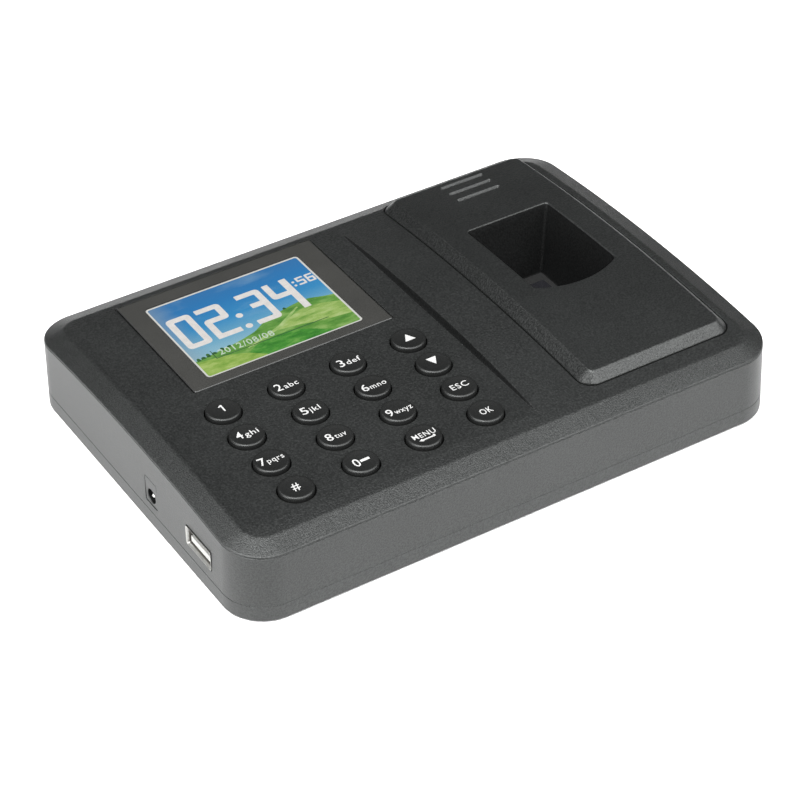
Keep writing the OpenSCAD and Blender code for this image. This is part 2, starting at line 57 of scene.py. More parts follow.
# ---------------------------------------------------------------- design sizes
HOUSE_LO, _ = box("upper_housing")
BASE_LO, BASE_HI = box("bottom_cover")
DRAFT, EDGE_Z, CROWN = 0.5, 23.0, 3.2                   # lean of the wall, its top edge, rise of the arch
BASE_Z = BASE_LO[2]
PART_TOP = HOUSE_LO[2]                                  # underside of the housing
PART_LOW = 5.2                                          # top rim of the bottom cover
HALF_W = BASE_HI[0] - DRAFT * (EDGE_Z - BASE_Z) / EDGE_Z
HALF_D = BASE_HI[1] - DRAFT * (EDGE_Z - BASE_Z) / EDGE_Z
CORNER_R, WALL = 12.0, 2.2
BODY = ((-HALF_W, -HALF_D), (HALF_W, HALF_D))           # plan of the top edge
CHAM_W, CHAM_H = 5.6, 1.6
ARCH_R = (HALF_D ** 2 + CROWN ** 2) / (2 * CROWN)
AXIS_Z = EDGE_Z + CROWN - ARCH_R
WIN_LO, WIN_HI = box("screen_window")
DECK_Z = WIN_HI[2]
CEIL_Z, SHOULDER_Z = 21.3, 20.0                         # underside of the deck and of its outer band
STEP_X0, STEP_SLOPE = 10.9, 4.4
RIDGE_X, RIDGE_SLOPE = -HALF_W + CHAM_W + 0.8, 20.0
(FP_X0, FP_Y0, _), (FP_X1, FP_Y1, _) = box("finger_cover")
FP_H, FP_R, FP_GAP, FP_DEEP = 2.5, 4.4, 0.35, 1.2       # rise, corner, gap round it, depth of its pocket
PANEL = ((FP_X0, FP_Y0), (FP_X1, FP_Y1))
USB_HIGH = 5.9                                          # height of the USB shell without its feet
FP_BL, FP_B = 3.1, 2.5                                  # bevel on the left and on the other sides
MOUTH_Z = EDGE_Z + CROWN + FP_H                         # top of the finger panel
WELL_X, WELL_HALF, WELL_BACK, WELL_FRONT, WELL_ARC = 52.5, 14.0, 26.4, -12.2, 26.5
WELL_LEAN = 4.9 / (MOUTH_Z - 8.0)                       # how much the well narrows per millimetre down
COLLAR = 1.6                                            # wall of the well below the panel
KEY_R, KEY_GAP = 4.85, 0.35
FEET_X, FEET_Y = 60, 46
FIXINGS_X, FIXINGS_Y = 75, 51.5                         # corner screws that hold the two halves
SCREW_XY = {"keypad_board": [(-69, -11.5), (-69, -37.3), (8, -11.5), (8, -37.3), (-30.1, -24.4)],
            "lcd_holder": [(-65.5, 14), (-65.5, 48), (5.5, 14), (5.5, 48)]}
KEYS = [n for n in NODES if n.startswith("key_")]


def arch_z(y):
    return AXIS_Z + np.sqrt(ARCH_R ** 2 - np.asarray(y, float) ** 2)


def smin(a, b, k):
    """The smaller of two values, with a soft change from one to the other over k."""
    h = np.maximum(k - np.abs(a - b), 0) / k
    return np.minimum(a, b) - h * h * k / 4


def smax(a, b, k):
    return -smin(-a, -b, k)


def rr_depth(x, y, x0, x1, y0, y1, r):
    """How far a point is inside a rounded rectangle."""
    qx = np.abs(x - (x0 + x1) / 2) - ((x1 - x0) / 2 - r)
    qy = np.abs(y - (y0 + y1) / 2) - ((y1 - y0) / 2 - r)
    return r - np.hypot(np.maximum(qx, 0), np.maximum(qy, 0)) - np.minimum(np.maximum(qx, qy), 0)


def body_depth(x, y):
    return rr_depth(x, y, -HALF_W, HALF_W, -HALF_D, HALF_D, CORNER_R)


def top_z(x, y):
    """Height of the housing's top: arch, chamfer, flat deck, leaning step and left ridge."""
    arch = arch_z(y)
    z = smin(arch, arch - CHAM_H * (1 - body_depth(x, y) / CHAM_W), 0.12)
    floor = smax(DECK_Z, DECK_Z + (x - STEP_X0) * STEP_SLOPE, 1.2)
    floor = np.maximum(floor, DECK_Z + (RIDGE_X - x) * RIDGE_SLOPE)
    k = 0.1 + 0.5 * np.clip((floor - DECK_Z) / 0.4, 0, 1)
    return smin(z, floor, k)


def panel_warp(x):
    """Folds the wide left bevel to the width of the others."""
    u = x - FP_X0
    return FP_X0 + np.where(u < FP_BL, u * FP_B / FP_BL, u - (FP_BL - FP_B))


def panel_unwarp(p):
    """Points back from the folded plan of the panel to its real one."""
    u = p[:, 0] - FP_X0
    return np.column_stack([FP_X0 + np.where(u < FP_B, u * FP_BL / FP_B, u + (FP_BL - FP_B)), p[:, 1]])


def panel_z(x, y):
    """Height of the finger panel's top: the arch raised, with a bevel all round."""
    d = rr_depth(panel_warp(x), y, FP_X0, FP_X1 - (FP_BL - FP_B), FP_Y0, FP_Y1, FP_R)
    return arch_z(y) + smin(FP_H, FP_H * d / FP_B, 0.35)


# ---------------------------------------------------------------- outlines
def rr_loop(x0, x1, y0, y1, r, step=3.0, nc=10):
    """Rounded rectangle, counter-clockwise: points and outward normals."""
    pts, nrm = [], []
    corners = [(x1 - r, y1 - r, 0), (x0 + r, y1 - r, 90), (x0 + r, y0 + r, 180), (x1 - r, y0 + r, 270)]
    for i, (cx, cy, a0) in enumerate(corners):
        for k in range(nc + 1):
            a = math.radians(a0 + 90 * k / nc)
            pts.append((cx + r * math.cos(a), cy + r * math.sin(a)))
            nrm.append((math.cos(a), math.sin(a)))
        nx, ny, a1 = corners[(i + 1) % 4]
        a = math.radians(a0 + 90)
        p = np.array(pts[-1])
        q = np.array((nx + r * math.cos(a), ny + r * math.sin(a)))
        n = max(1, round(np.linalg.norm(q - p) / step))
        for k in range(1, n):
            pts.append(tuple(p + (q - p) * k / n))
            nrm.append((math.cos(a), math.sin(a)))
    return np.array(pts), np.array(nrm)


def around(corners, grow, r, step=3.0, nc=10):
    """Rounded rectangle that passes outside a box, seen from above, by grow."""
    (x0, y0), (x1, y1) = corners[0][:2], corners[1][:2]
    return rr_loop(x0 - grow, x1 + grow, y0 - grow, y1 + grow, r, step, nc)


def middle(name):
    """Middle of a CAD node, seen from above."""
    lo, hi = box(name)
    return (lo[:2] + hi[:2]) / 2


def circle_loop(cx, cy, r, n=48):
    a = np.arange(n) * 2 * math.pi / n
    nrm = np.stack([np.cos(a), np.sin(a)], 1)
    return np.array([cx, cy]) + r * nrm, nrm


def inside(poly, pts):
    """Even-odd test of many points against one polygon."""
    x, y = pts[:, 0], pts[:, 1]
    hit = np.zeros(len(pts), bool)
    for (x0, y0), (x1, y1) in zip(poly, np.roll(poly, -1, 0)):
        if y0 != y1:
            cross = (y0 > y) != (y1 > y)
            hit ^= cross & (x < (x1 - x0) * (y - y0) / (y1 - y0) + x0)
    return hit


def loop_normals(p):
    """Normals of a counter-clockwise loop, pointing out of it."""
    d = np.roll(p, -1, 0) - np.roll(p, 1, 0)
    n = np.column_stack([d[:, 1], -d[:, 0]])
    return n / np.maximum(np.linalg.norm(n, axis=1), 1e-9)[:, None]


def plan(outer, holes=(), lines=(), points=None, clear=0.3):
    """Triangles between an outer loop and hole loops, through crease lines and loose points."""
    outer, holes = np.asarray(outer), [np.asarray(h) for h in holes]
    shrunk, grown = outer - loop_normals(outer) * clear, [h + loop_normals(h) * clear for h in holes]

    def free(q):
        ok = inside(shrunk, q)
        for h in grown:
            ok &= ~inside(h, q)
        return ok

    pts, edges = [], []
    for loop in [outer, *holes]:
        b, n = len(pts), len(loop)
        pts += [tuple(p) for p in loop]
        edges += [(b + i, b + (i + 1) % n) for i in range(n)]
    for line in lines:
        b, ok = len(pts), free(np.asarray(line))
        index = b + np.cumsum(ok) - 1
        pts += [tuple(p) for p, o in zip(line, ok) if o]
        edges += [(int(index[i]), int(index[i + 1])) for i in range(len(line) - 1) if ok[i] and ok[i + 1]]
    if points is not None and len(points):
        pts += [tuple(p) for p in points[free(points)]]
    v, _, f, *_ = delaunay_2d_cdt([Vector((float(a), float(b))) for a, b in pts], edges, [], 0, 1e-4)
    v = np.array([tuple(p) for p in v])
    f = np.array([t for t in f if len(t) == 3])
    mid = v[f].mean(1)
    keep = inside(outer, mid)
    for h in holes:
        keep &= ~inside(h, mid)
    return v, f[keep]


# ---------------------------------------------------------------- mesh builder
class Shell:
    """Collects surface pieces and welds them into one closed mesh."""

    def __init__(self):
        self.v, self.f = [], []

    def add(self, v, f):
        b = len(self.v)
        self.v += [tuple(map(float, p)) for p in v]
        self.f += [tuple(int(i) + b for i in t) for t in f]

    def cap(self, z, outer, holes=(), lines=(), points=None):
        """Fills a loop, less its holes, at one height or where the function z puts its points."""
        v, f = plan(outer, holes, lines, points)
        self.add(z(v) if callable(z) else at(v, z), f)

    def strip(self, a, b, closed=True, skip=None):
        """Quads between two rows with the same number of points."""
        n = len(a)
        f = [(i, (i + 1) % n, n + (i + 1) % n, n + i) for i in range(n if closed else n - 1)
             if skip is None or not skip(i, (i + 1) % n)]
        self.add(np.vstack([a, b]), f)

    def rows(self, rows, closed=True):
        for a, b in zip(rows, rows[1:]):
            self.strip(a, b, closed)

    def tube(self, x, y, r_out, r_in, z0, z1, n=40):
        o, _ = circle_loop(x, y, r_out, n)
        c, _ = circle_loop(x, y, r_in, n)
        zz = lambda p, z: np.column_stack([p, np.full(n, z)])
        self.rows([zz(o, z0), zz(o, z1), zz(c, z1), zz(c, z0), zz(o, z0)])

    def finish(self, name, material, slot, replaces=(), body=CASING, angle=32, weld=2e-6, weighted=True):
        me = bpy.data.meshes.new(name)
        me.from_pydata([tuple(c * MM for c in p) for p in self.v], [], self.f)
        bm = bmesh.new()
        bm.from_mesh(me)
        bmesh.ops.remove_doubles(bm, verts=bm.verts, dist=weld)
        bmesh.ops.dissolve_degenerate(bm, edges=bm.edges, dist=1e-7)
        bmesh.ops.recalc_face_normals(bm, faces=bm.faces)
        opened = sum(1 for e in bm.edges if len(e.link_faces) != 2)
        bm.to_mesh(me)
        bm.free()
        print(f"{name}: {len(me.polygons)} faces, {opened} open edges")
        me.shade_smooth()
        me.set_sharp_from_angle(angle=math.radians(angle))
        ob = bpy.data.objects.new(name, me)
        bpy.context.scene.collection.objects.link(ob)
        if weighted:
            m = ob.modifiers.new("Normals", "WEIGHTED_NORMAL")
            m.keep_sharp = True
        me.materials.append(material)
        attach(ob, body)
        if replaces:
            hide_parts(*replaces)
        return ob


def second_look(ob, material, test):
    """Gives the faces whose middle and normal pass the test another material."""
    ob.data.materials.append(material)
    for face in ob.data.polygons:
        if test(np.array(face.center) / MM, face.normal):
            face.material_index = len(ob.data.materials) - 1


def bend(p0, p1, p2, n=5):
    """Rows of a rounded edge between two rows, drawn towards the sharp one."""
    return [(1 - t) ** 2 * p0 + 2 * t * (1 - t) * p1 + t * t * p2 for t in np.linspace(0, 1, n + 1)]


def at(p, z):
    return np.column_stack([p, np.broadcast_to(z, len(p))])


# ---------------------------------------------------------------- materials
def srgb(*rgb):
    """Linear colour from display values 0 to 255."""
    return tuple(c / 12.92 if c <= 0.04045 else ((c + 0.055) / 1.055) ** 2.4 for c in (v / 255 for v in rgb))


def principled(name, color, rough, **kw):
    m = bpy.data.materials.new(name)
    m.use_nodes = True
    nt = m.node_tree
    s = nt.nodes["Principled BSDF"]
    s.inputs["Base Color"].default_value = (*color, 1)
    s.inputs["Roughness"].default_value = rough
    for k, v in kw.items():
        s.inputs[k.replace("_", " ")].default_value = v
    return m, nt, s


def node(nt, kind, **kw):
    n = nt.nodes.new(kind)
    for k, v in kw.items():
        if k.startswith("i_"):
            n.inputs[int(k[2:]) if k[2:].isdigit() else k[2:].replace("_", " ")].default_value = v
        else:
            setattr(n, k, v)
    return n


def link(a, b):
    a.id_data.links.new(a, b)


def coords(nt, scale=(1, 1, 1), turn=0.0):
    """Coordinates on the piece in metres, stretched, and turned about the upright axis."""
    mp = node(nt, "ShaderNodeMapping", i_Scale=scale, i_Rotation=(0, 0, turn))
    link(node(nt, "ShaderNodeTexCoord").outputs["Object"], mp.inputs["Vector"])
    return mp.outputs["Vector"]


def noise(nt, vector, scale, detail=2.0, rough=0.5):
    n = node(nt, "ShaderNodeTexNoise", i_Scale=scale, i_Detail=detail, i_Roughness=rough)
    link(vector, n.inputs["Vector"])
    return n.outputs["Fac"]


def span(nt, value, to_lo, to_hi, lo=0.0, hi=1.0):
    """Maps values from lo..hi to another range, and no further."""
    r = node(nt, "ShaderNodeMapRange", i_1=lo, i_2=hi, i_3=to_lo, i_4=to_hi)
    link(value, r.inputs["Value"])
    return r.outputs["Result"]


def blend(nt, factor, first, color):
    mix = node(nt, "ShaderNodeMix", data_type="RGBA")
    link(factor, mix.inputs["Factor"])
    link(first, mix.inputs["A"])
    mix.inputs["B"].default_value = (*color, 1)
    return mix.outputs["Result"]


def ramp(nt, source, stops):
    r = node(nt, "ShaderNodeValToRGB")
    el = r.color_ramp.elements
    while len(el) > 1:
        el.remove(el[-1])
    el[0].position, el[0].color = stops[0][0], (*stops[0][1], 1)
    for pos, col in stops[1:]:
        el.new(pos).color = (*col, 1)
    link(source, r.inputs["Fac"])
    return r.outputs["Color"]


def tone(nt, source, color, low, high):
    """The colour times a factor that follows a noise."""
    c = np.array(color)
    return ramp(nt, source, [(0.3, c * low), (0.7, np.minimum(c * high, 1))])


def bump(nt, s, height, strength, distance):
    b = node(nt, "ShaderNodeBump", i_Strength=strength, i_Distance=distance * MM)
    link(height, b.inputs["Height"])
    link(b.outputs["Normal"], s.inputs["Normal"])


def plastic(name, color, rough, grain=0.35, strength=0.35, spread=0.12, wave=0.15, spec=0.5, height=0.04,
            mottle=0.15):
    """Moulded plastic: an eroded grain in the bump and the shine, and slow changes of colour and gloss."""
    m, nt, s = principled(name, color, rough, Specular_Tint=(0.972, 1.0, 0.987, 1))
    co = coords(nt)
    fine = noise(nt, co, 1000 / grain, 2.0, 0.55)
    link(tone(nt, noise(nt, co, 45.0, 4.0), color, 1 - wave, 1 + wave), s.inputs["Base Color"])
    link(span(nt, fine, rough - spread / 2, rough + spread / 2, 0.3, 0.7), s.inputs["Roughness"])
    link(span(nt, fine, spec * (1 - mottle), spec * (1 + mottle), 0.35, 0.65), s.inputs["Specular IOR Level"])
    bump(nt, s, fine, strength, height)
    return m


def metal(name, color, rough, grain=0.6, stretch=(1, 1, 1), strength=0.15):
    m, nt, s = principled(name, color, rough, Metallic=1.0)
    fine = noise(nt, coords(nt, stretch), 1000 / grain, 4.0)
    link(span(nt, fine, rough * 0.8, rough * 1.3), s.inputs["Roughness"])
    link(tone(nt, fine, color, 0.9, 1.06), s.inputs["Base Color"])
    bump(nt, s, fine, strength, 0.03)
    return m


def rubber(name, color=(0.012, 0.012, 0.012)):
    return plastic(name, color, 0.8, grain=0.25, strength=0.5, spread=0.1, wave=0.25, spec=0.3)


def grained(name, color, rough, grain, height, spec, mottle):
    """The terminal's own plastic, with the deep grain of its mould; with darker colours it also gives the
    painted-shade copies for the step, the panel's left bevel and the well.
    """
    return plastic(name, color, rough, grain, strength=1.0, spec=spec, height=height, mottle=mottle)


BLACK = (0.0082, 0.0087, 0.0086)
# darker blacks painted as shade: on the step's face and on the finger panel's left bevel
STEP_PAINTED_SHADE, BEVEL_PAINTED_SHADE = (0.004, 0.0042, 0.0042), (0.006, 0.0064, 0.0063)
# darker black painted as the shade inside the finger well
WELL_PAINTED_SHADE = (0.0026, 0.0027, 0.0027)
M_HOUSE = grained("housing_plastic", BLACK, 0.44, 0.55, 0.16, 0.53, 0.32)
M_EDGE = grained("housing_chamfer_grain", BLACK, 0.4, 0.34, 0.12, 0.6, 0.42)
M_WALL = grained("housing_wall_plastic", BLACK, 0.44, 0.45, 0.06, 0.45, 0.22)
M_PANEL = grained("panel_plastic", BLACK, 0.41, 0.5, 0.12, 0.52, 0.3)
# painted shade on the step's face: a darker, duller copy of the housing plastic
M_STEP_PAINTED_SHADE = grained("step_painted_shade", STEP_PAINTED_SHADE, 0.5, 0.5, 0.1, 0.12, 0.4)
# painted shade on the panel's left bevel, which faces away from the light: a darker, duller copy of the panel
# plastic
M_BEVEL_PAINTED_SHADE = grained("panel_left_bevel_painted_shade", BEVEL_PAINTED_SHADE, 0.45, 0.5, 0.12, 0.27, 0.5)
# painted shade inside the finger well: a darker, duller copy of the panel plastic
M_WELL_PAINTED_SHADE = grained("well_painted_shade", WELL_PAINTED_SHADE, 0.6, 0.45, 0.08, 0.13, 0.4)
M_COVER = grained("cover_plastic", BLACK, 0.44, 0.45, 0.06, 0.48, 0.22)
M_KEY = plastic("key_plastic", (0.006, 0.0062, 0.0061), 0.42, grain=0.3, strength=0.1, height=0.03)


# ---------------------------------------------------------------- upper housing
def drafted(pts, nrm, z, inset=0.0):
    """Outline of the drafted side wall at height z, moved in by inset."""
    g = DRAFT * (EDGE_Z - np.asarray(z, float)) / EDGE_Z - inset
    return at(pts + nrm * np.broadcast_to(g, len(pts))[:, None], z)


def on(zfun, p, down=0.0):
    """Points of a plan on the surface zfun, or that far below it."""
    return at(p, zfun(p[:, 0], p[:, 1]) - down)


def rim(shell, pts, nrm, t, z_low):
    """Rounded edge of the top round a hole with straight walls; returns the loop that the top starts
    from. nrm points from the hole into the material."""
    out = pts + nrm * t
    shell.rows(bend(on(top_z, out), on(top_z, pts), on(top_z, pts, t), 4) + [at(pts, z_low)])
    return out


def wall_patch(shell, low, high, sel, x_of, holes, edge=0.2):
    """Flat stretch of the left wall between two rows, with rounded openings through it."""
    loops = []
    for pts, nrm in holes:
        lip = pts + nrm * edge
        shell.rows([np.column_stack([x_of(q[:, 1]) + dx, q]) for q, dx in (
            (lip, 0), (pts + nrm * edge * 0.3, edge * 0.3), (pts, edge), (pts, WALL))])
        loops.append(lip)
    left_patch(shell, low, high, sel, x_of, loops)


def left_patch(shell, low, high, sel, x_of, loops):
    loop = np.vstack([low[sel], high[sel][::-1]])[:, 1:]
    shell.cap(lambda v: np.column_stack([x_of(v[:, 1]), v]), loop, loops)


def crease_lines():
    """Rows of points along every crease of the top: chamfer, step, ridge, and the arch's two ends."""
    lines = []
    for d in (-0.6, -0.25, 0, 0.25, 0.6):
        loop, _ = around(BODY, -(CHAM_W + d), CORNER_R - (CHAM_W + d), 2.6, 20)
        lines.append(np.vstack([loop, loop[:1]]))
    ys = np.arange(-54, 54.1, 1.5)
    for x in [*np.arange(STEP_X0 - 0.6, STEP_X0 + 1.05, 0.1),
              *(RIDGE_X + np.array([-0.3, -0.2, -0.13, -0.1, -0.07, 0, 0.03, 0.1, 0.3]))]:
        lines.append(np.column_stack([np.full(len(ys), x), ys]))
    xs = np.arange(RIDGE_X + 0.6, STEP_X0 - 0.9, 3)
    for y in (50.6, -50.6):                             # where the arch sinks to the deck
        for dy in (-1.2, -0.6, 0, 0.6, 1.2):
            lines.append(np.column_stack([xs, np.full(len(xs), y + dy)]))
    return lines


def loose_points(x0, x1, y0, y1, holes, swell, near=lambda x, y: False):
    """Square grid of points, less those in or close to the holes and those that near picks out."""
    gx, gy = np.meshgrid(np.arange(x0, x1, 3.2), np.arange(y0, y1, 3.2))
    grid = np.column_stack([gx.ravel(), gy.ravel()])
    out = np.zeros(len(grid), bool) | near(grid[:, 0], grid[:, 1])
    for h in holes:
        out |= inside(h + (h - h.mean(0)) * swell, grid)
    return grid[~out]


def build_housing():
    s = Shell()
    pts, nrm = around(BODY, 0, CORNER_R, 2.6, 24)
    wall = lambda z, inset=0.0: drafted(pts, nrm, z, inset)
    edge, low_edge, groove = 0.4, 0.28, 0.16
    ins = pts - nrm * edge
    sharp = on(top_z, pts)
    seam = sharp[:, 2] - edge
    wall_hi, wall_lo = wall(seam - 0.34), wall(PART_TOP + low_edge)
    s.rows(bend(on(top_z, ins), sharp, wall(seam), 6)
           + [wall(seam - 0.06, groove), wall(seam - 0.22, groove), wall_hi])
    # openings for the ports in the left wall
    usb, dc = box("usb_shell"), box("dc_jack_body")
    usb_low = usb[1][2] - USB_HIGH
    ports = [rr_loop(usb[0][1] - 0.2, usb[1][1] + 0.2, usb_low - 0.3, usb[1][2] + 0.3, 0.35, 20, 3),
             around([c[1:] for c in dc], 0.05, 0.4, 20, 3)]
    sel = np.flatnonzero((pts[:, 0] < -HALF_W + 1e-6) & (pts[:, 1] > -48) & (pts[:, 1] < -4))
    in_patch = set(sel[:-1].tolist())
    skip = lambda i, j: i in in_patch
    x_out = lambda z: -(HALF_W + DRAFT * (EDGE_Z - z) / EDGE_Z)
    s.strip(wall_hi, wall_lo, skip=skip)
    wall_patch(s, wall_lo, wall_hi, sel, x_out, ports)
    # parting face and the inside
    s.rows(bend(wall_lo, wall(PART_TOP), wall(PART_TOP, low_edge), 3))
    in_lo, in_hi = wall(PART_TOP, WALL), wall(SHOULDER_Z, WALL)
    s.strip(wall(PART_TOP, low_edge), in_lo)
    s.strip(in_lo, in_hi, skip=skip)
    left_patch(s, in_lo, in_hi, sel, lambda z: x_out(z) + WALL, [p for p, _ in ports])
    ceiling, _ = around(BODY, -7, 6, 4, 8)
    s.cap(SHOULDER_Z, in_hi[:, :2], [ceiling])
    s.strip(at(ceiling, SHOULDER_Z), at(ceiling, CEIL_Z))
    # holes through the deck: keys, window with its ledge, and the panel's pocket
    top_holes, ceil_holes = [], []
    for k in KEYS:
        p, n = circle_loop(*middle(k), KEY_R + KEY_GAP, 64)
        top_holes.append(rim(s, p, n, 0.22, CEIL_Z))
        ceil_holes.append(p)
    p, n = around((WIN_LO, WIN_HI), 0.2, 0.8, 4, 5)
    top_holes.append(rim(s, p, n, 0.15, WIN_LO[2]))
    q, _ = around(box("lcd_bezel"), 0.2, 0.6, 4, 3)
    s.cap(WIN_LO[2], p, [q])
    s.strip(at(q, WIN_LO[2]), at(q, CEIL_Z))
    ceil_holes.append(q)
    pocket = lambda q: at(q, arch_z(q[:, 1]) - FP_DEEP)
    p, n = around(PANEL, FP_GAP, FP_R + FP_GAP, 3, 12)
    out = p + n * 0.3
    s.rows(bend(on(top_z, out), on(top_z, p), on(top_z, p, 0.3), 4) + [pocket(p)])
    top_holes.append(out)
    q, _ = rr_loop(FP_X0 + 3.4, FP_X1 - 3.4, FP_Y0 + 3.4, FP_Y1 - 3.8, 3, 3, 12)
    s.cap(pocket, p, [q])
    s.strip(pocket(q), at(q, CEIL_Z))
    ceil_holes.append(q)
    s.cap(CEIL_Z, ceiling, ceil_holes)
    grid = loose_points(-80, 80.1, -56, 56.1, top_holes, 0.02, lambda x, y: (
        (np.abs(x - STEP_X0 - 0.2) < 1.6) | (x < RIDGE_X + 0.8) | (body_depth(x, y) < CHAM_W + 1.2)))
    s.cap(lambda v: on(top_z, v), ins, top_holes, crease_lines(), grid)
    # posts inside
    for x in (-FIXINGS_X, FIXINGS_X):
        for y in (-FIXINGS_Y, FIXINGS_Y):
            s.tube(x, y, 3.8, 1.3, PART_LOW, SHOULDER_Z + 0.4)
    for held, places in SCREW_XY.items():
        for x, y in places:
            s.tube(x, y, 2.6, 1.0, box(held)[1][2], CEIL_Z + 0.2)
    ob = s.finish("housing_top", M_HOUSE, "housing", ["upper_housing"])
    second_look(ob, M_EDGE, lambda c, n: n[2] > 0.85 and c[2] > 20 and body_depth(c[0], c[1]) < CHAM_W - 0.1)
    # the step's face gets the painted-shade copy of the housing plastic
    second_look(ob, M_STEP_PAINTED_SHADE, lambda c, n: n[0] < -0.3 and abs(c[0] - STEP_X0) < 1.2 and c[2] > DECK_Z + 0.02)
    second_look(ob, M_WALL, lambda c, n: abs(n[2]) < 0.6 and body_depth(c[0], c[1]) < 0.5)


build_housing()


# ---------------------------------------------------------------- finger panel
def well_loop(z, grow=0.0):
    """Outline of the finger well at height z: two sides, a back and a rounded front."""
    off = grow - WELL_LEAN * (MOUTH_Z - z)
    half, back, r = WELL_HALF + off, WELL_BACK + off, WELL_ARC + off
    cy = WELL_FRONT + WELL_ARC
    rho = max(1.2 + off * 0.1, 0.4)                     # radius of its four corners
    y_side = cy - math.sqrt(r * r - half * half)
    br, bl, cl, cr = (np.array([WELL_X + sx * half, y]) for sx, y in (
        (1, back), (-1, back), (-1, y_side), (1, y_side)))
    along, up = np.array([rho, 0]), np.array([0, rho])
    a_end = math.asin(half / r) - rho / r
    arc = [np.array([WELL_X + r * math.sin(a), cy - r * math.cos(a)]) for a in np.linspace(-a_end, a_end, 25)]
    pts = []

    def turn(p0, p1, p2):
        pts.extend(bend(p0, p1, p2, 6))

    def side(a, b, n):
        pts.extend(a + (b - a) * k / n for k in range(1, n))

    turn(br - up, br, br - along)
    side(br - along, bl + along, 10)
    turn(bl + along, bl, bl - up)
    side(bl - up, cl + up, 12)
    turn(cl + up, cl, arc[0])
    pts.extend(arc[1:-1])
    turn(arc[-1], cr, cr + up)
    side(cr + up, br - up, 12)
    return np.array(pts)


def stadium(cx, cy, half, r, n=10):
    """Slot with round ends: points and outward normals."""
    pts, nrm = [], []
    for sx, a0 in ((1, -90), (-1, 90)):
        for k in range(n + 1):
            a = math.radians(a0 + 180 * k / n)
            pts.append((cx + sx * half + r * math.cos(a), cy + r * math.sin(a)))
            nrm.append((math.cos(a), math.sin(a)))
        for k in range(1, 5):
            pts.append((cx + sx * half * (1 - 2 * k / 5), cy + sx * r))
            nrm.append((0.0, float(sx)))
    return np.array(pts), np.array(nrm)


def build_panel():
    s = Shell()
    folded = ((FP_X0, FP_Y0), (FP_X1 - (FP_BL - FP_B), FP_Y1))
    pts, nrm = around(folded, 0, FP_R, 2.6, 20)
    edge, mouth_edge = 0.18, 0.35
    base, ins = panel_unwarp(pts), panel_unwarp(pts - nrm * edge)
    foot = at(base, arch_z(base[:, 1]))
    low = lambda p: at(p, arch_z(p[:, 1]) - FP_DEEP + 0.05)
    roof = lambda p: at(p, arch_z(p[:, 1]) + 0.5)
    s.rows(bend(on(panel_z, ins), foot, foot - [0, 0, edge], 3) + [low(base)])
    cav, _ = rr_loop(FP_X0 + 5, FP_X1 - 5, FP_Y0 + 5, FP_Y1 - 3.3, 3, 3, 8)
    s.cap(low, base, [cav])
    s.strip(low(cav), roof(cav))
    # well: rounded mouth, leaning walls, then the outside of its collar
    mouth, throat = well_loop(MOUTH_Z), well_loop(MOUTH_Z - mouth_edge)
    lip = mouth + loop_normals(mouth) * mouth_edge
    s.rows(bend(on(panel_z, lip), on(panel_z, mouth), on(panel_z, throat, mouth_edge), 5))
    z_low = 8.2
    inner = [at(well_loop(z), z) for z in np.linspace(27.0, z_low, 12)]
    outer = [at(well_loop(z, COLLAR), z) for z in np.linspace(z_low, 24.0, 6)]
    collar_top = well_loop(26.5, COLLAR)
    s.strip(on(panel_z, throat, mouth_edge), inner[0])
    s.rows(inner + outer + [roof(collar_top)])
    # sound slots with a sloped rim
    top_holes, roof_holes = [lip], [collar_top]
    for i in (-1, 0, 1):
        p, m = stadium(53.2, 46.9 + 4.5 * i, 6.7, 0.8)
        q, slit = p + m * 0.2, p - m * 0.5
        s.rows(bend(on(panel_z, q), on(panel_z, p), on(panel_z, p - m * 0.1, 0.14), 3)
               + [on(panel_z, slit, 0.75), on(panel_z, slit, 1.0), roof(slit)])
        top_holes.append(q)
        roof_holes.append(slit)
    s.cap(roof, cav, roof_holes)
    lines = []
    for d in (FP_B - 0.45, FP_B - 0.2, FP_B, FP_B + 0.2, FP_B + 0.45):
        loop = panel_unwarp(around(folded, -d, max(FP_R - d, 0.3), 2.6, 14)[0])
        lines.append(np.vstack([loop, loop[:1]]))
    grid = loose_points(FP_X0 + 5, FP_X1 - 4, FP_Y0 + 4, FP_Y1 - 4, top_holes, 0.06)
    s.cap(lambda v: on(panel_z, v), ins, top_holes, lines, grid)
    s.tube(*middle("speaker_frame"), 8.4, 7.2, box("speaker_frame")[1][2], 25.6, 64)
    ob = s.finish("finger_panel", M_PANEL, "housing_panel", ["finger_cover"])
    # the well's walls get the painted-shade copy of the panel plastic
    second_look(ob, M_WELL_PAINTED_SHADE, lambda c, n: n[2] < 0.5 and c[2] < panel_z(c[0], c[1]) - 0.45
                and inside(mouth, c[None, :2])[0])
    # the left bevel gets the painted-shade copy of the panel plastic
    second_look(ob, M_BEVEL_PAINTED_SHADE, lambda c, n: n[0] < -0.35 and n[2] > 0.3 and c[0] < FP_X0 + FP_BL + 0.3)


build_panel()


# ---------------------------------------------------------------- keys
def lathe(shell, cx, cy, profile, n=64):
    """Closed profile (radius, z) turned round a vertical axis, with the axis points as caps."""
    rows = []
    for r, z in profile:
        rows.append(at(circle_loop(cx, cy, r, n)[0], z))
    shell.rows(rows)


def arc_profile(r, z, rad, a0, a1, n=5):
    """Points of a rounded profile corner with its centre at (r, z)."""
    return [(r + rad * math.cos(math.radians(a)), z + rad * math.sin(math.radians(a)))
            for a in np.linspace(a0, a1, n + 1)]


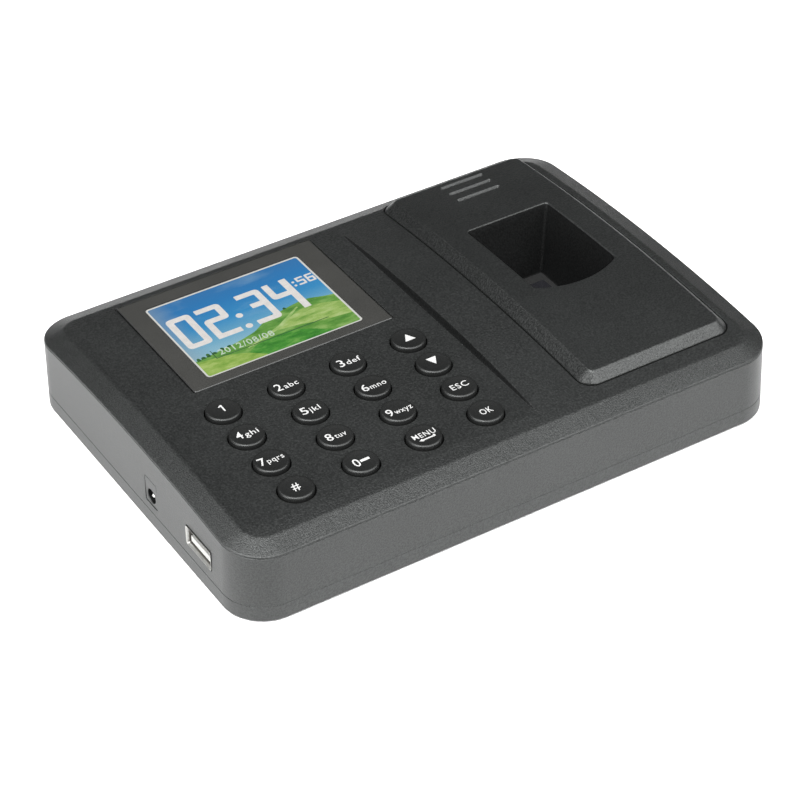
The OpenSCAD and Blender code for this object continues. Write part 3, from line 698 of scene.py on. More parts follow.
def build_key(name):
    """Cap with a flange and a plunger below, a rounded rim and a dished top."""
    lo, hi = box(name)
    low, z = lo[2], hi[2]
    plunger, flange, round_r = 1.6, 5.9, 0.55
    profile = [(0, low), (plunger, low), (plunger, low + 1.4), (flange, low + 1.4), (flange, low + 2.2),
               (KEY_R, low + 2.2), (KEY_R, z - round_r)]
    profile += arc_profile(KEY_R - round_r, z - round_r, round_r, 8, 84, 7)
    profile += [(KEY_R - 0.8, z - 0.01), (KEY_R - 1.3, z - 0.09), (KEY_R - 2.2, z - 0.16), (1.2, z - 0.22),
                (0, z - 0.23)]
    s = Shell()
    lathe(s, *middle(name), profile)
    s.finish("cap_" + name[4:], M_KEY, "key_plastic", [name], body=name, angle=40)


for k in KEYS:
    build_key(k)


# ---------------------------------------------------------------- flat plates and lettering
def rounded(points, n=5):
    """Closed outline from rows of (x, y, corner radius), counter-clockwise."""
    out = []
    for i, (x, y, r) in enumerate(points):
        p = np.array((x, y), float)
        if r <= 0:
            out.append(p)
            continue
        a = np.array(points[i - 1][:2]) - p
        b = np.array(points[(i + 1) % len(points)][:2]) - p
        a, b = a / np.linalg.norm(a) * r, b / np.linalg.norm(b) * r
        out += [p + (1 - t) ** 2 * a + t * t * b for t in np.linspace(0, 1, n + 1)]
    return np.array(out)


def plate(shell, outer, z0, z1, holes=()):
    """Flat plate between two heights, with holes through it."""
    v, f = plan(outer, holes)
    shell.add(at(v, z1), f)
    shell.add(at(v, z0), f[:, ::-1])
    for loop in (outer, *holes):
        shell.strip(at(loop, z0), at(loop, z1))


def letters(text, x0, x1, y0, y1=None, x_height=1.5, bold=0.005):
    """Letters of the built-in typeface as a thin solid, fitted to a box, or to a width and an x-height."""
    cu = bpy.data.curves.new("letters", "FONT")
    cu.body, cu.size, cu.offset, cu.extrude, cu.resolution_u = text, 1.0, bold, 0.01, 3
    cu.space_character = 1.12
    ob = bpy.data.objects.new("letters", cu)
    me = ob.to_mesh()
    v = np.array([tuple(p.co) for p in me.vertices])
    f = [tuple(p.vertices) for p in me.polygons]
    ob.to_mesh_clear()
    bpy.data.objects.remove(ob)
    bpy.data.curves.remove(cu)
    lo, hi = v.min(0), v.max(0)
    x = x0 + (v[:, 0] - lo[0]) * (x1 - x0) / (hi[0] - lo[0])
    if y1 is None:
        y = y0 + v[:, 1] * x_height / FONT_X_HEIGHT
    else:
        y = y0 + (v[:, 1] - lo[1]) * (y1 - y0) / (hi[1] - lo[1])
    return np.column_stack([x, y, v[:, 2] > 0]), f


FONT_X_HEIGHT = 0.52
KEY_DISH = [(0, -0.23), (1.2, -0.22), (2.65, -0.16), (3.55, -0.09), (4.05, -0.01), (4.3, 0)]
# per key: text, left, right, base line, and top where the height is not the letters' own
LEGENDS = {
    "2": [("2", -3.3, -1.35, -1.3, 1.75), ("abc", -0.8, 3.4, -1.15)],
    "3": [("3", -2.95, -1.2, -1.3, 1.85), ("def", -0.6, 3.65, -1.15)],
    "4": [("4", -2.9, -1.05, -0.75, 2.25), ("ghi", -0.55, 3.45, -0.7)],
    "5": [("5", -2.7, -0.7, -1.0, 1.9), ("jkl", -0.35, 2.8, -0.9)],
    "6": [("6", -3.35, -1.35, -1.25, 1.75), ("mno", -0.95, 3.9, -1.1)],
    "7": [("7", -3.4, -1.4, -0.85, 2.15), ("pqrs", -1.15, 3.7, -0.7)],
    "8": [("8", -2.85, -0.95, -1.5, 1.55), ("tuv", -0.45, 2.95, -1.35)],
    "9": [("9", -3.45, -1.6, -1.35, 1.65), ("wxyz", -1.25, 4.0, -1.2)],
    "esc": [("ESC", -2.5, 2.75, -0.85, 1.4)],
    "hash": [("#", -1.2, 1.05, -1.5, 1.6)],
    "0": [("0", -2.3, -0.45, -1.7, 1.55)],
    "menu": [("MENU", -3.2, 3.65, -0.45, 1.45)],
    "ok": [("OK", -1.75, 1.9, -1.1, 1.2)],
}
SIGNS = {
    "1": [(0.03, -0.75, 0.05), (0.46, -0.75, 0.05), (0.46, 2.1, 0.1), (0.1, 2.1, 0.1), (-0.75, 1.5, 0.1),
          (-0.6, 1.15, 0.1), (0.0, 1.55, 0)],
    "up": [(-1.4, -0.9, 0.15), (1.85, -0.9, 0.15), (0.22, 2.1, 0.15)],
    "down": [(-1.25, 2.1, 0.15), (0.32, -1.0, 0.15), (1.9, 2.1, 0.15)],
    "0": [(-0.1, -0.42, 0.1), (2.55, -0.42, 0.1), (2.55, 0.5, 0.1), (-0.1, 0.5, 0.1)],
    "menu": [(-2.35, -1.45, 0), (-1.2, -2.1, 0), (-1.2, -1.7, 0), (2.65, -1.7, 0.1), (2.65, -0.75, 0.1),
             (2.15, -0.75, 0.1), (2.15, -1.22, 0), (-1.2, -1.22, 0), (-1.2, -0.82, 0)],
}


def build_legend(name):
    """White print on a key, laid on its dished top."""
    cx, cy = middle(name)
    top = box(name)[1][2]
    s, key = Shell(), name[4:]
    for row in LEGENDS.get(key, []):
        v, f = letters(*row)
        s.add(v, f)
    if key in SIGNS:
        plate(s, rounded(SIGNS[key], 3), 0, 1)
    v = np.array(s.v)
    dish = np.interp(np.hypot(v[:, 0], v[:, 1]), *zip(*KEY_DISH))
    s.v = [(cx + x, cy + y, top + d - 0.03 + 0.045 * z) for (x, y, z), d in zip(v, dish)]
    s.finish("print_" + key, M_PRINT, "key_plastic", body=name, angle=30, weighted=False, weld=1e-6)


M_PRINT = plastic("white_print", (0.36, 0.36, 0.355), 0.6, grain=0.2, strength=0.1, wave=0.04)
for k in KEYS:
    build_legend(k)

# ---------------------------------------------------------------- display
PIC_W, PIC_D = 49.4, 37.4
PIC_X0 = (WIN_LO[0] + WIN_HI[0]) / 2 + 0.2 - PIC_W / 2
PIC_Y0 = (WIN_LO[1] + WIN_HI[1]) / 2 + 0.3 - PIC_D / 2
PICTURE = ((PIC_X0, PIC_Y0), (PIC_X0 + PIC_W, PIC_Y0 + PIC_D))
LCD_Z = box("lcd_glass")[1][2]


def glow(name, strength=1.0):
    """Picture material: dark glass that gives off the colour linked to its emission."""
    m, nt, s = principled(name, (0.01, 0.01, 0.01), 0.3)
    s.inputs["Emission Strength"].default_value = strength
    return m, nt, s


def sky_material():
    """Blue that deepens upwards, with faint clouds and a haze on the left."""
    m, nt, s = glow("picture_sky")
    co = node(nt, "ShaderNodeTexCoord").outputs["Object"]
    sep = node(nt, "ShaderNodeSeparateXYZ")
    link(co, sep.inputs["Vector"])
    up = span(nt, sep.outputs["Y"], 0, 1, (PIC_Y0 + 9) * MM, (PIC_Y0 + PIC_D) * MM)
    blue = ramp(nt, up, [
        (0.0, srgb(150, 196, 214)), (0.2, srgb(112, 176, 208)), (0.45, srgb(55, 146, 203)),
        (0.75, srgb(42, 126, 190)), (1.0, srgb(52, 120, 180))])
    cloud = span(nt, noise(nt, coords(nt, (60, 170, 60)), 1.0, 5.0, 0.6), 0, 0.4, 0.52, 0.85)
    clouded = blend(nt, cloud, blue, srgb(160, 195, 215))
    left = span(nt, sep.outputs["X"], 0.55, 0, PIC_X0 * MM, (PIC_X0 + 7) * MM)
    link(blend(nt, left, clouded, srgb(145, 165, 178)), s.inputs["Emission Color"])
    return m


def green(name, *rgb, scale=120.0):
    """Grass in a dark, a middle and a light colour."""
    m, nt, s = glow("picture_" + name)
    blades = noise(nt, coords(nt, (scale, scale * 2.6, scale), -0.25), 1.0, 6.0, 0.65)
    link(ramp(nt, blades, list(zip((0.32, 0.5, 0.68), (srgb(*c) for c in rgb)))), s.inputs["Emission Color"])
    return m


def lit_material(name, color, strength=1.0, wave=0.06):
    m, nt, s = glow(name, strength)
    link(tone(nt, noise(nt, coords(nt), 600.0), color, 1 - wave, 1 + wave), s.inputs["Emission Color"])
    return m


def build_screen():
    z = LCD_Z
    px = lambda pts: np.array([(PIC_X0 + x, PIC_Y0 + y) for x, y in pts])
    flat = lambda name, mat, **more: s.finish("screen_" + name, mat, "lcd", weighted=False, **more)
    bx, by = 0.55, 0.52                                 # white margin, sideways and up
    inner = rr_loop(PIC_X0 + bx, PIC_X0 + PIC_W - bx, PIC_Y0 + by, PIC_Y0 + PIC_D - by, 0.7, 60, 6)[0]
    s = Shell()
    plate(s, around(PICTURE, 0, 1.1, 60, 6)[0], z + 0.06, z + 0.12, [inner])
    flat("frame", M_FRAME)
    s = Shell()
    plate(s, inner, z + 0.01, z + 0.04)
    flat("sky", sky_material())
    # ground: fields between a lower and an upper curve, the nearest on top
    x1 = PIC_W - bx
    fields = [
        ("hills", [(bx, by), (x1, by)],
         [(bx, 8.3), (8, 9.2), (16, 10.4), (22.4, 12.2), (24.2, 14), (31.5, 16.3), (36, 17.2), (41, 17.9),
          (45.1, 16.3), (x1, 15.4)],
         green("hills", (72, 132, 48), (104, 160, 66), (150, 188, 105), scale=130.0)),
        ("slope", [(27, 9.0), (33, 8.0), (40, 6.2), (x1, 5.0)],
         [(27, 9.2), (33, 12.6), (38, 14.4), (43, 13.8), (x1, 11.6)],
         green("slope", (112, 160, 66), (160, 192, 102), (190, 212, 140), scale=190.0)),
        ("valley", [(14, by), (40, by)], [(14, 3.2), (18, 6.0), (24, 7.0), (30, 7.2), (35, 4.6), (40, 0.9)],
         green("valley", (48, 122, 38), (72, 150, 52), (118, 175, 80), scale=210.0)),
        ("meadow", [(bx, by), (19, by)], [(bx, 7.6), (5, 7.2), (10, 6.3), (15, 4.2), (19, 0.9)],
         green("meadow", (120, 165, 62), (152, 186, 86), (182, 206, 118), scale=210.0)),
        ("path", [(16, 6.0), (22, 7.6), (28, 9.4), (33, 12.6), (37, 15.4)],
         [(16, 6.3), (22, 8.5), (28, 10.6), (33, 13.6), (37, 15.9)],
         green("path", (140, 180, 92), (168, 200, 122), (196, 216, 150), scale=260.0)),
    ]
    for i, (name, low, top, mat) in enumerate(fields):
        s = Shell()
        xs = np.linspace(low[0][0], low[-1][0], 60)
        soft = lambda c: np.convolve(np.pad(np.interp(xs, *zip(*c)), 2, "edge"), np.ones(5) / 5, "valid")
        loop = px(list(zip(xs, soft(low))) + list(zip(xs[::-1], np.maximum(soft(top), soft(low) + 0.02)[::-1])))
        plate(s, loop, z + 0.035, z + 0.045 + 0.008 * i)
        flat(name, mat)
    # dark trees on the left horizon
    s = Shell()
    half_turn = np.linspace(0, math.pi, 9)
    for x, y, w, h in [(1.2, 8.0, 1.1, 1.5), (2.6, 8.3, 1.4, 1.1), (4.4, 8.4, 1.2, 1.7), (6.1, 8.7, 1.6, 1.0),
                       (9.0, 9.0, 1.3, 1.4), (11.2, 9.4, 1.5, 0.9), (28.6, 15.2, 0.9, 1.2), (33.0, 16.4, 1.0, 1.0)]:
        tree = [(x + w / 2 + w / 2 * math.cos(t), y + h * math.sin(t) ** 0.6) for t in half_turn]
        plate(s, px(tree), z + 0.035, z + 0.048)
    flat("trees", green("trees", (35, 75, 40), (50, 100, 50), (80, 130, 65)))
    # clock: four large figures with strokes 2 wide, two small ones, and the colons
    s = Shell()
    zt = z + 0.1
    m0, m1, w, h = 7.7, 9.8, 7.75, 15.5                 # middle stroke, width and height of a figure

    def figure(pts, x, y=14.0, holes=()):
        o = np.array((PIC_X0 + x, PIC_Y0 + y))
        plate(s, rounded(pts) + o, zt, zt + 0.04, [rounded(q) + o for q in holes])

    figure([(0, 0, 1.6), (7.55, 0, 1.6), (7.55, h, 1.6), (0, h, 1.6)], 2.0,
           holes=[[(2, 2, 0.4), (5.55, 2, 0.4), (5.55, h - 2, 0.4), (2, h - 2, 0.4)]])
    figure([(0, 0, 0.2), (w, 0, 0.2), (w, 2, 0), (2, 2, 0.3), (2, m0, 0.3), (w, m0, 1.6), (w, h, 1.6), (0, h, 0.2),
            (0, h - 2, 0.2), (w - 2, h - 2, 0.4), (w - 2, m1, 0.4), (0, m1, 1.6)], 11.2)
    w = 7.6
    figure([(0, 0, 0.2), (w, 0, 1.6), (w, h, 1.6), (0, h, 0.2), (0, h - 2, 0.2), (w - 2, h - 2, 0.4),
            (w - 2, m1, 0.3), (2.1, m1, 0.2), (2.1, m0, 0.2), (w - 2, m0, 0.3), (w - 2, 2, 0.4), (0, 2, 0.2)], 24.1)
    w = 7.75
    figure([(w - 2.2, 0, 0.2), (w, 0, 0.2), (w, h, 0.2), (w - 2.2, h, 0.2), (w - 2.2, m1, 0.2), (2, m1, 0.4),
            (2, h, 0.2), (0, h, 0.2), (0, m0, 1.6), (w - 2.2, m0, 0.2)], 33.05)
    w, h, m0, m1, t = 2.45, 3.8, 1.7, 2.3, 0.6
    figure([(0, 0, 0), (w, 0, 0.4), (w, m1, 0.4), (t, m1, 0), (t, h - t, 0), (w, h - t, 0), (w, h, 0), (0, h, 0),
            (0, m0, 0), (w - t, m0, 0), (w - t, t, 0), (0, t, 0)], 43.05, 24.2)
    figure([(0, 0, 0.4), (w, 0, 0.4), (w, m1, 0.4), (t, m1, 0), (t, h - t, 0), (w, h - t, 0), (w, h, 0),
            (0, h, 0.4)], 46.1, 24.2, [[(t, t, 0), (w - t, t, 0), (w - t, m0, 0), (t, m0, 0)]])
    for x, y, r in [(21.3, 20.8, 1.05), (21.3, 15.1, 1.05), (41.9, 26.5, 0.42), (41.9, 24.7, 0.42)]:
        plate(s, circle_loop(PIC_X0 + x, PIC_Y0 + y, r, 24)[0], zt, zt + 0.04)
    flat("clock", M_DIGIT)
    s = Shell()
    v, f = letters("2012/08/08", PIC_X0 + 8.05, PIC_X0 + 25.3, PIC_Y0 + 7.4, PIC_Y0 + 9.9, bold=0.006)
    s.add(np.column_stack([v[:, :2], zt + 0.03 * v[:, 2]]), f)
    flat("date", M_DATE, weld=1e-6)
    s = Shell()
    plate(s, px([(6.2, 10.6), (6.2, 6.5), (41.9, 6.5), (41.9, 6.75), (6.45, 6.75), (6.45, 10.6)]), zt, zt + 0.02)
    flat("line", green("line", (45, 80, 50), (55, 95, 60), (70, 110, 75)))


M_FRAME = lit_material("picture_frame", srgb(225, 225, 220))
M_DIGIT = lit_material("picture_digits", srgb(238, 234, 230))
M_DATE = lit_material("picture_date", srgb(205, 222, 205))
build_screen()


def window_materials():
    """Clear sheet: a faint mirror on top of what is seen through it, and plain clear below."""
    m, nt, s = principled("window_gloss", (0, 0, 0), 0.5, Specular_IOR_Level=1.0)
    link(span(nt, noise(nt, coords(nt), 90.0, 5.0), 0.04, 0.13), s.inputs["Roughness"])
    clear = node(nt, "ShaderNodeBsdfTransparent", i_Color=(0.93, 0.93, 0.93, 1))
    mix = node(nt, "ShaderNodeMixShader")
    link(node(nt, "ShaderNodeFresnel", i_IOR=1.49).outputs["Fac"], mix.inputs["Fac"])
    link(clear.outputs["BSDF"], mix.inputs[1])
    link(s.outputs["BSDF"], mix.inputs[2])
    link(mix.outputs["Shader"], nt.nodes["Material Output"].inputs["Surface"])
    c, nt, s = principled("window_clear", (0, 0, 0), 0.5)
    nt.nodes.remove(s)
    clear = node(nt, "ShaderNodeBsdfTransparent")
    link(tone(nt, noise(nt, coords(nt), 60.0), (1, 1, 1), 0.96, 0.99), clear.inputs["Color"])
    link(clear.outputs["BSDF"], nt.nodes["Material Output"].inputs["Surface"])
    return m, c


def build_window():
    s = Shell()
    ring = rr_loop(PIC_X0 - 0.85, PIC_X0 + PIC_W - 0.25, PIC_Y0 - 1.2, PIC_Y0 + PIC_D - 0.55, 1.2, 60, 6)[0]
    sheet = ((WIN_LO[0] + 0.45, WIN_LO[1]), WIN_HI)
    z0, z1 = WIN_LO[2] + 0.01, WIN_HI[2]
    plate(s, around(sheet, 0, 0.6, 60, 4)[0], z1 - 0.24, z1 - 0.2, [ring])
    s.finish("window_border", LOOKS["lcd_bezel"][0], "window", weighted=False)
    # painted light: this grey sheet round the picture glows at a fixed grey, so the band that the border above
    # shades looks as lit as the border
    s = Shell()
    plate(s, ring + (ring - ring.mean(0)) * 0.07, LCD_Z + 0.15, LCD_Z + 0.2, [around(PICTURE, 0.02, 1.1, 60, 6)[0]])
    s.finish("screen_surround_painted_light", lit_material("surround_painted_light", srgb(78, 77, 75)), "lcd", weighted=False)
    s = Shell()
    p, n = around(sheet, 0, 0.6, 6, 4)
    chamfer = 0.18
    q = p - n * chamfer
    s.cap(z1, q)
    s.rows([at(q, z1), at(p, z1 - chamfer), at(p, z0)])
    s.cap(z0, p)
    gloss, clear = window_materials()
    ob = s.finish("window_sheet", gloss, "window", ["screen_window"], angle=30, weighted=False)
    second_look(ob, clear, lambda c, n: n[2] <= -0.3)
    second_look(ob, plastic("window_edge", (0.02, 0.02, 0.02), 0.4, grain=0.4), lambda c, n: 0.3 < n[2] <= 0.95)
    second_look(ob, plastic("window_side", (0.004, 0.004, 0.004), 0.6, spec=0.2, grain=0.4),
                lambda c, n: -0.3 < n[2] <= 0.3)


# ---------------------------------------------------------------- bottom cover
def build_base():
    s = Shell()
    pts, nrm = around(BODY, 0, CORNER_R, 2.6, 24)
    d = lambda z, i=0.0: drafted(pts, nrm, z, i)
    floor_z, te, tb = BASE_Z + 2, 0.25, 0.6             # floor, upper and lower edge radius
    lip = lambda i, z: at(pts - nrm * i, z)
    s.rows(bend(d(PART_LOW, te), d(PART_LOW), d(PART_LOW - te), 3)
           + bend(d(BASE_Z + tb), d(BASE_Z), d(BASE_Z, tb), 5))
    s.rows([d(PART_LOW, te), lip(WALL, PART_LOW), lip(WALL, PART_LOW + 1.3), lip(WALL + 0.2, PART_LOW + 1.5),
            lip(WALL + 1.2, PART_LOW + 1.5), lip(WALL + 1.2, floor_z)])
    corners = [(sx, sy) for sx in (-1, 1) for sy in (-1, 1)]
    under, floor = [], []

    def sink(x, y, r, depth_z, hole=0.0, top=None):
        """Round recess in the underside, with a smaller hole on through where one is given."""
        p, n = circle_loop(x, y, r, 48)
        lipped = p + n * 0.15
        s.rows([at(lipped, BASE_Z), at(p + n * 0.04, BASE_Z + 0.05), at(p, BASE_Z + 0.15), at(p, depth_z)])
        under.append(lipped)
        q = circle_loop(x, y, hole, 48)[0] if hole else None
        s.cap(depth_z, p, [q] if hole else [])
        if hole:
            s.strip(at(q, depth_z), at(q, top))

    def boss(x, y, r, top, bore=0.0, bore_z=None):
        """Post on the floor; its bore goes down to bore_z, or is already open below."""
        p = circle_loop(x, y, r, 48)[0]
        floor.append(p)
        s.strip(at(p, floor_z), at(p, top))
        q = circle_loop(x, y, bore, 48)[0] if bore else None
        s.cap(top, p, [q] if bore else [])
        if bore and bore_z is not None:
            s.strip(at(q, top), at(q, bore_z))
            s.cap(bore_z, q)

    for sx, sy in corners:
        sink(FIXINGS_X * sx, FIXINGS_Y * sy, 3.3, 3.2, 1.7, PART_LOW)
        boss(FIXINGS_X * sx, FIXINGS_Y * sy, 4.6, PART_LOW, 1.7)
        sink(35 * sx, 30 * sy, 1.6, 4.6)
        boss(35 * sx, 30 * sy, 3.6, 5.4)
        sink(FEET_X * sx, FEET_Y * sy, 6.1, BASE_Z + 1)
    for x in (-62, 24):
        for y in (-41, 41):
            boss(x, y, 3.2, box("main_board")[0][2], 1.3, floor_z)
    p, n = rr_loop(-28, 28, -16, 16, 1.5, 6, 6)
    s.rows([at(p + n * 0.2, BASE_Z), at(p + n * 0.06, BASE_Z + 0.06), at(p, BASE_Z + 0.3)])
    under.append(p + n * 0.2)
    s.cap(BASE_Z + 0.3, p)
    s.cap(BASE_Z, d(BASE_Z, tb)[:, :2], under)
    s.cap(floor_z, pts - nrm * (WALL + 1.2), floor)
    for y in (-34, 14):
        plate(s, rr_loop(41.5, 63.5, y, y + 4, 0.3, 30, 3)[0], floor_z - 0.1, floor_z + 0.6)
    s.finish("base_tray", M_COVER, "cover", ["bottom_cover"])


build_base()


def build_feet():
    s = Shell()
    for sx in (-1, 1):
        for sy in (-1, 1):
            lathe(s, FEET_X * sx, FEET_Y * sy, [(0, 0.25), (3.4, 0.25), (3.9, 0.05), (4.3, 0), (5.3, 0), (5.7, 0.1),
                                                (5.95, 0.35), (6, 0.6), (6, BASE_Z + 1), (0, BASE_Z + 1)], 48)
    s.finish("feet", rubber("foot_rubber"), "rubber_seal", ["rubber_feet"])


build_feet()


# ---------------------------------------------------------------- ports
def yz(loop, x):
    return np.column_stack([np.broadcast_to(x, len(loop)), loop])


def build_usb():
    lo, hi = box("usb_shell")
    yc, zc, hy, hz = (lo[1] + hi[1]) / 2, hi[2] - USB_HIGH / 2, (hi[1] - lo[1]) / 2, USB_HIGH / 2
    ring = lambda g: rr_loop(yc - hy - g, yc + hy + g, zc - hz - g, zc + hz + g, max(0.6 + g, 0.25), 30, 5)[0]
    x0, x1 = lo[0], hi[0]
    s = Shell()
    sheet = 0.35
    s.rows([yz(ring(g), x) for x, g in (
        (x1, 0), (x0 + 0.9, 0), (x0 + 0.5, 0.03), (x0 + 0.15, 0.14), (x0 + 0.03, 0.17), (x0, 0.13),
        (x0 + 0.03, 0.02), (x0 + 0.2, -0.12), (x0 + 0.7, -0.3), (x0 + 1.1, -sheet), (x1 - sheet, -sheet))])
    s.cap(lambda v: yz(v, x1 - sheet), ring(-sheet))
    s.cap(lambda v: yz(v, x1), ring(0))
    for sgn in (-1, 1):
        c = yc + sgn * 5.9
        plate(s, rr_loop(-76, -73, c - 0.5, c + 0.5, 0.1, 20, 2)[0], lo[2], lo[2] + 2)
    ob = s.finish("usb_jacket", metal("usb_metal", (0.34, 0.34, 0.325), 0.4, grain=0.9, stretch=(0.25, 1, 1)),
                  "steel", ["usb_shell"], angle=40)
    # painted shade: the inside of the shell gets a darker, browner metal than its outside
    second_look(ob, metal("usb_inside_painted_shade", (0.2, 0.19, 0.175), 0.45), lambda c, n: c[0] > x0 + 0.9
                and abs(c[1] - yc) < hy - 0.3 and abs(c[2] - zc) < hz - 0.3)


def build_dc():
    lo, hi = box("dc_jack_body")
    plo, phi = box("dc_jack_pin")
    yc, zc = (plo[1] + phi[1]) / 2, (plo[2] + phi[2]) / 2
    ring = lambda g: rr_loop(lo[1] - g, hi[1] + g, lo[2] - g, hi[2] + g, max(0.4 + g, 0.1), 30, 4)[0]
    x0, x1 = lo[0] - 0.28, hi[0]
    s = Shell()
    s.rows([yz(ring(-0.12), x0), yz(ring(-0.03), x0 + 0.02), yz(ring(0), x0 + 0.1), yz(ring(0), x1)])
    bore, n = circle_loop(yc, zc, 2.15, 48)
    s.rows([yz(bore + n * 0.25, x0), yz(bore + n * 0.07, x0 + 0.07), yz(bore, x0 + 0.25), yz(bore, x0 + 8.2)])
    s.cap(lambda v: yz(v, x0), ring(-0.12), [bore + n * 0.25])
    s.cap(lambda v: yz(v, x0 + 8.2), bore)
    s.cap(lambda v: yz(v, x1), ring(0))
    ob = s.finish("dc_inlet", plastic("inlet_plastic", BLACK, 0.46, grain=0.4, height=0.06), "jack_plastic",
                  ["dc_jack_body"])
    # painted shade: the bore inside the inlet gets a darker, duller black than the inlet's own plastic
    second_look(ob, plastic("inlet_bore_painted_shade", (0.002, 0.002, 0.002), 0.6, spec=0.15), lambda c, n: c[0] > x0 + 0.2
                and math.hypot(c[1] - yc, c[2] - zc) < 2.3)
    s = Shell()
    s.rows([yz(circle_loop(yc, zc, r, 24)[0], x) for r, x in (
        (0, plo[0]), (0.25, plo[0] + 0.05), (0.47, plo[0] + 0.2), (0.61, plo[0] + 0.42), (0.65, plo[0] + 0.7),
        (0.65, phi[0]), (0, phi[0]))])
    s.finish("dc_pin", metal("pin_metal", (0.9, 0.89, 0.87), 0.3), "contact_metal", ["dc_jack_pin"])


build_usb()
build_dc()


# ---------------------------------------------------------------- looks of the CAD nodes kept as they are
def soften(name, width):
    """Welds a kept node and rounds its edges a little."""
    ob = NODES[name]
    w = ob.modifiers.new("Weld", "WELD")
    w.merge_threshold = 1e-6
    b = ob.modifiers.new("Edges", "BEVEL")
    b.width, b.segments, b.limit_method, b.angle_limit = width * MM, 2, "ANGLE", math.radians(40)
    b.use_clamp_overlap = True
    b.harden_normals = True


def board_material(name):
    """Green solder mask over tracks, with bare pads."""
    m, nt, s = principled(name, (0.01, 0.09, 0.03), 0.35, Coat_Weight=0.4)
    co = coords(nt)
    tracks = node(nt, "ShaderNodeTexBrick", i_Scale=260.0, offset=0.5, i_Mortar_Size=0.08,
                  i_Color1=(0.008, 0.085, 0.03, 1), i_Color2=(0.01, 0.1, 0.035, 1), i_Mortar=(0.02, 0.16, 0.06, 1))
    pads = node(nt, "ShaderNodeTexVoronoi", i_Scale=330.0)
    for n in (tracks, pads):
        link(co, n.inputs["Vector"])
    dots = ramp(nt, pads.outputs["Distance"], [(0.1, (1, 1, 1)), (0.14, (0, 0, 0))])
    link(blend(nt, dots, tracks.outputs["Color"], (0.55, 0.5, 0.35)), s.inputs["Base Color"])
    bump(nt, s, tracks.outputs["Fac"], 0.3, 0.04)
    return m


def mesh_cloth(name):
    m, nt, s = principled(name, (0.02, 0.02, 0.02), 0.7)
    weave = node(nt, "ShaderNodeTexChecker", i_Scale=2500.0, i_Color1=(0.03, 0.03, 0.03, 1),
                 i_Color2=(0.008, 0.008, 0.008, 1))
    link(coords(nt), weave.inputs["Vector"])
    link(weave.outputs["Color"], s.inputs["Base Color"])
    bump(nt, s, weave.outputs["Fac"], 0.6, 0.1)
    return m


DARK, WHITE, IVORY = (0.02, 0.02, 0.02), (0.8, 0.8, 0.78), (0.75, 0.72, 0.62)
M_BOARD = board_material("circuit_board")
M_FILM = plastic("flex_film", (0.42, 0.17, 0.02), 0.3, grain=1.2, strength=0.2)
M_SCREW = metal("screw_zinc", (0.62, 0.62, 0.64), 0.32)
# CAD nodes that stay as they are: material, and the rounding of their edges
LOOKS = {
    "lcd_bezel": (plastic("bezel_grey", (0.0445, 0.044, 0.041), 0.55, grain=0.3, wave=0.1), 0),
    "lcd_glass": (plastic("panel_glass", (0.01, 0.01, 0.012), 0.15, grain=3, strength=0.05), 0.1),
    "lcd_backlight": (plastic("light_guide", WHITE, 0.4, grain=1.5, strength=0.1, wave=0.03), 0.1),
    "lcd_holder": (plastic("holder_plastic", (0.03, 0.03, 0.032), 0.5), 0.15),
    "lcd_flex": (M_FILM, 0), "keypad_flex": (M_FILM, 0), "sensor_flex": (M_FILM, 0),
    "keypad_mat": (plastic("silicone_mat", (0.04, 0.04, 0.045), 0.6, grain=0.5, strength=0.2), 0.2),
    "keypad_board": (M_BOARD, 0), "main_board": (M_BOARD, 0), "sensor_board": (M_BOARD, 0),
    "dome_switches": (metal("dome_metal", (0.8, 0.66, 0.35), 0.25), 0),
    "keypad_screws": (M_SCREW, 0.15), "board_screws": (M_SCREW, 0.15), "housing_screws": (M_SCREW, 0.15),
    "integrated_circuits": (plastic("chip_epoxy", (0.012, 0.012, 0.013), 0.55, grain=0.2), 0.15),
    "electrolytic_capacitors": (plastic("capacitor_sleeve", (0.01, 0.015, 0.05), 0.3, grain=0.8, strength=0.1), 0.3),
    "crystal_can": (metal("can_steel", (0.75, 0.75, 0.76), 0.22), 0.3),
    "buzzer": (plastic("buzzer_plastic", DARK, 0.4), 0.3),
    "flex_connectors": (plastic("connector_ivory", IVORY, 0.45), 0.1),
    "coin_cell_holder": (plastic("cell_holder", DARK, 0.45), 0.2),
    "coin_cell": (metal("cell_steel", (0.75, 0.75, 0.77), 0.25, grain=0.4, stretch=(0.1, 1, 1)), 0.3),
    "usb_tongue": (plastic("usb_white", (0.34, 0.34, 0.325), 0.4, grain=0.6, strength=0.1, wave=0.03), 0.12),
    "usb_contacts": (metal("contact_gold", (0.9, 0.68, 0.3), 0.2), 0),
    "sensor_housing": (plastic("module_plastic", (0.012, 0.012, 0.012), 0.5), 0.2),
    "sensor_prism": (plastic("prism_top", (0.012, 0.012, 0.014), 0.1, grain=4, strength=0.02, spread=0.06), 0.1),
    "sensor_lens": (plastic("lens_barrel", DARK, 0.3), 0.1),
    "sensor_gasket": (rubber("gasket_rubber", (0.008, 0.008, 0.008)), 0),
    "speaker_frame": (metal("speaker_steel", (0.45, 0.45, 0.47), 0.35), 0.1),
    "speaker_cone": (plastic("cone_paper", (0.5, 0.46, 0.38), 0.8, grain=0.8, strength=0.6, wave=0.1), 0),
    "speaker_magnet": (plastic("ferrite", (0.06, 0.06, 0.065), 0.6, grain=0.4, wave=0.3), 0.2),
    "speaker_mesh": (mesh_cloth("speaker_cloth"), 0),
}
build_window()
for name, (look, edge) in LOOKS.items():
    ob = NODES[name]
    ob.data.materials.clear()
    ob.data.materials.append(look)
    if edge:
        soften(name, edge)


# ---------------------------------------------------------------- stage, light, camera
LAMP_SIZE, LAMP_DIST = 1.5, 2.2                         # metres


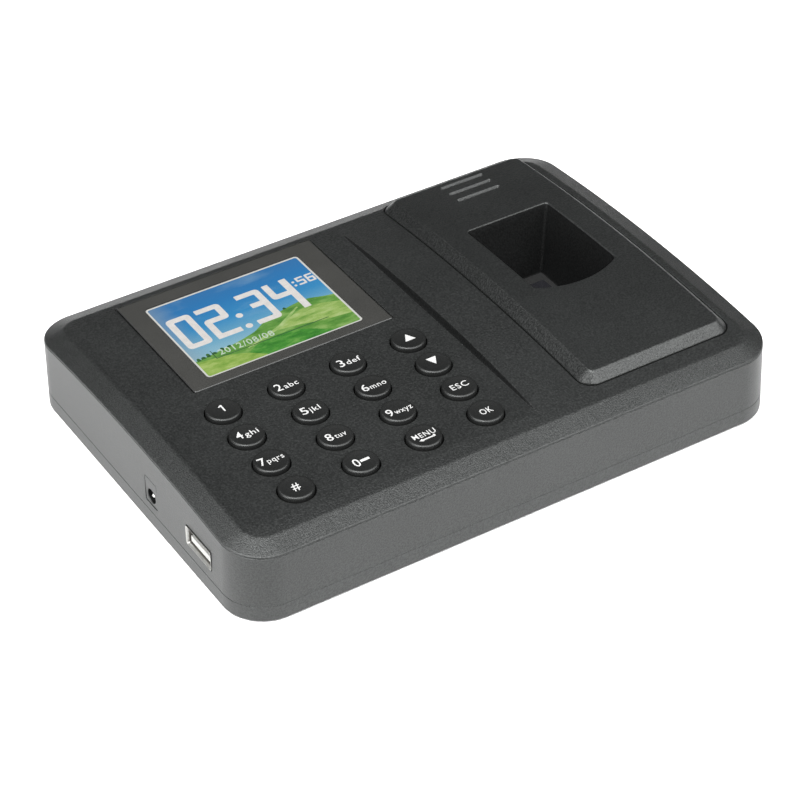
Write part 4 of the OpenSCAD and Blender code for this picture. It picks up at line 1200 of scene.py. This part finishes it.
def lamp(name, az, el, power):
    """Round soft box that faces the middle of the object from the given direction, in degrees."""
    az, el = math.radians(az), math.radians(el)
    d = Vector((math.sin(az) * math.cos(el), -math.cos(az) * math.cos(el), math.sin(el)))
    data = bpy.data.lights.new(name, "AREA")
    data.shape, data.size, data.energy = "DISK", LAMP_SIZE, power
    o = bpy.data.objects.new(name, data)
    o.location = d * LAMP_DIST
    o.rotation_euler = (-d).to_track_quat("-Z", "Y").to_euler()
    bpy.context.scene.collection.objects.link(o)


def build_floor():
    me = bpy.data.meshes.new("floor")
    me.from_pydata([(-8, -8, 0), (8, -8, 0), (8, 8, 0), (-8, 8, 0)], [], [(0, 1, 2, 3)])
    o = bpy.data.objects.new("floor", me)
    bpy.context.scene.collection.objects.link(o)
    m, nt, s = principled("floor_white", (0.92, 0.92, 0.92), 0.9)
    link(tone(nt, noise(nt, coords(nt), 30.0), (1, 1, 1), 0.915, 0.925), s.inputs["Base Color"])
    me.materials.append(m)


build_floor()
world = bpy.data.worlds.new("studio")
bpy.context.scene.world = world
world.use_nodes = True
world.node_tree.nodes["Background"].inputs["Color"].default_value = (1, 1, 1, 1)
world.node_tree.nodes["Background"].inputs["Strength"].default_value = 0.02
for lamp_row in [("key_left", -60, 58, 79), ("key_top", 0, 82, 17), ("fill_front", 0, 38, 33),
                 ("fill_right", 45, 35, 28), ("fill_high", 60, 58, 15), ("fill_low", -88, 12, 38),
                 ("fill_back", -120, 58, 18)]:
    lamp(*lamp_row)

AZ, EL, ROLL = math.radians(-31.19), math.radians(37.60), math.radians(-1.234)
cam = bpy.data.cameras.new("camera")
cam.sensor_width = 36.0
cam.lens = 2706.8 / 800 * 36.0
cam.clip_start, cam.clip_end = 0.05, 30
camera = bpy.data.objects.new("camera", cam)
bpy.context.scene.collection.objects.link(camera)
back = Vector((math.sin(AZ) * math.cos(EL), -math.cos(AZ) * math.cos(EL), math.sin(EL)))
target = Vector((-11.06, -16.59, 15.4)) * MM
right = (-back).cross(Vector((0, 0, 1))).normalized()
up = right.cross(-back)
x_axis = right * math.cos(ROLL) + up * math.sin(ROLL)
y_axis = up * math.cos(ROLL) - right * math.sin(ROLL)
camera.matrix_world = Matrix.Translation(target + back * 738.37 * MM) @ Matrix(
    (x_axis, y_axis, back)).transposed().to_4x4()
bpy.context.scene.camera = camera
bpy.context.scene.view_settings.view_transform = "Standard"
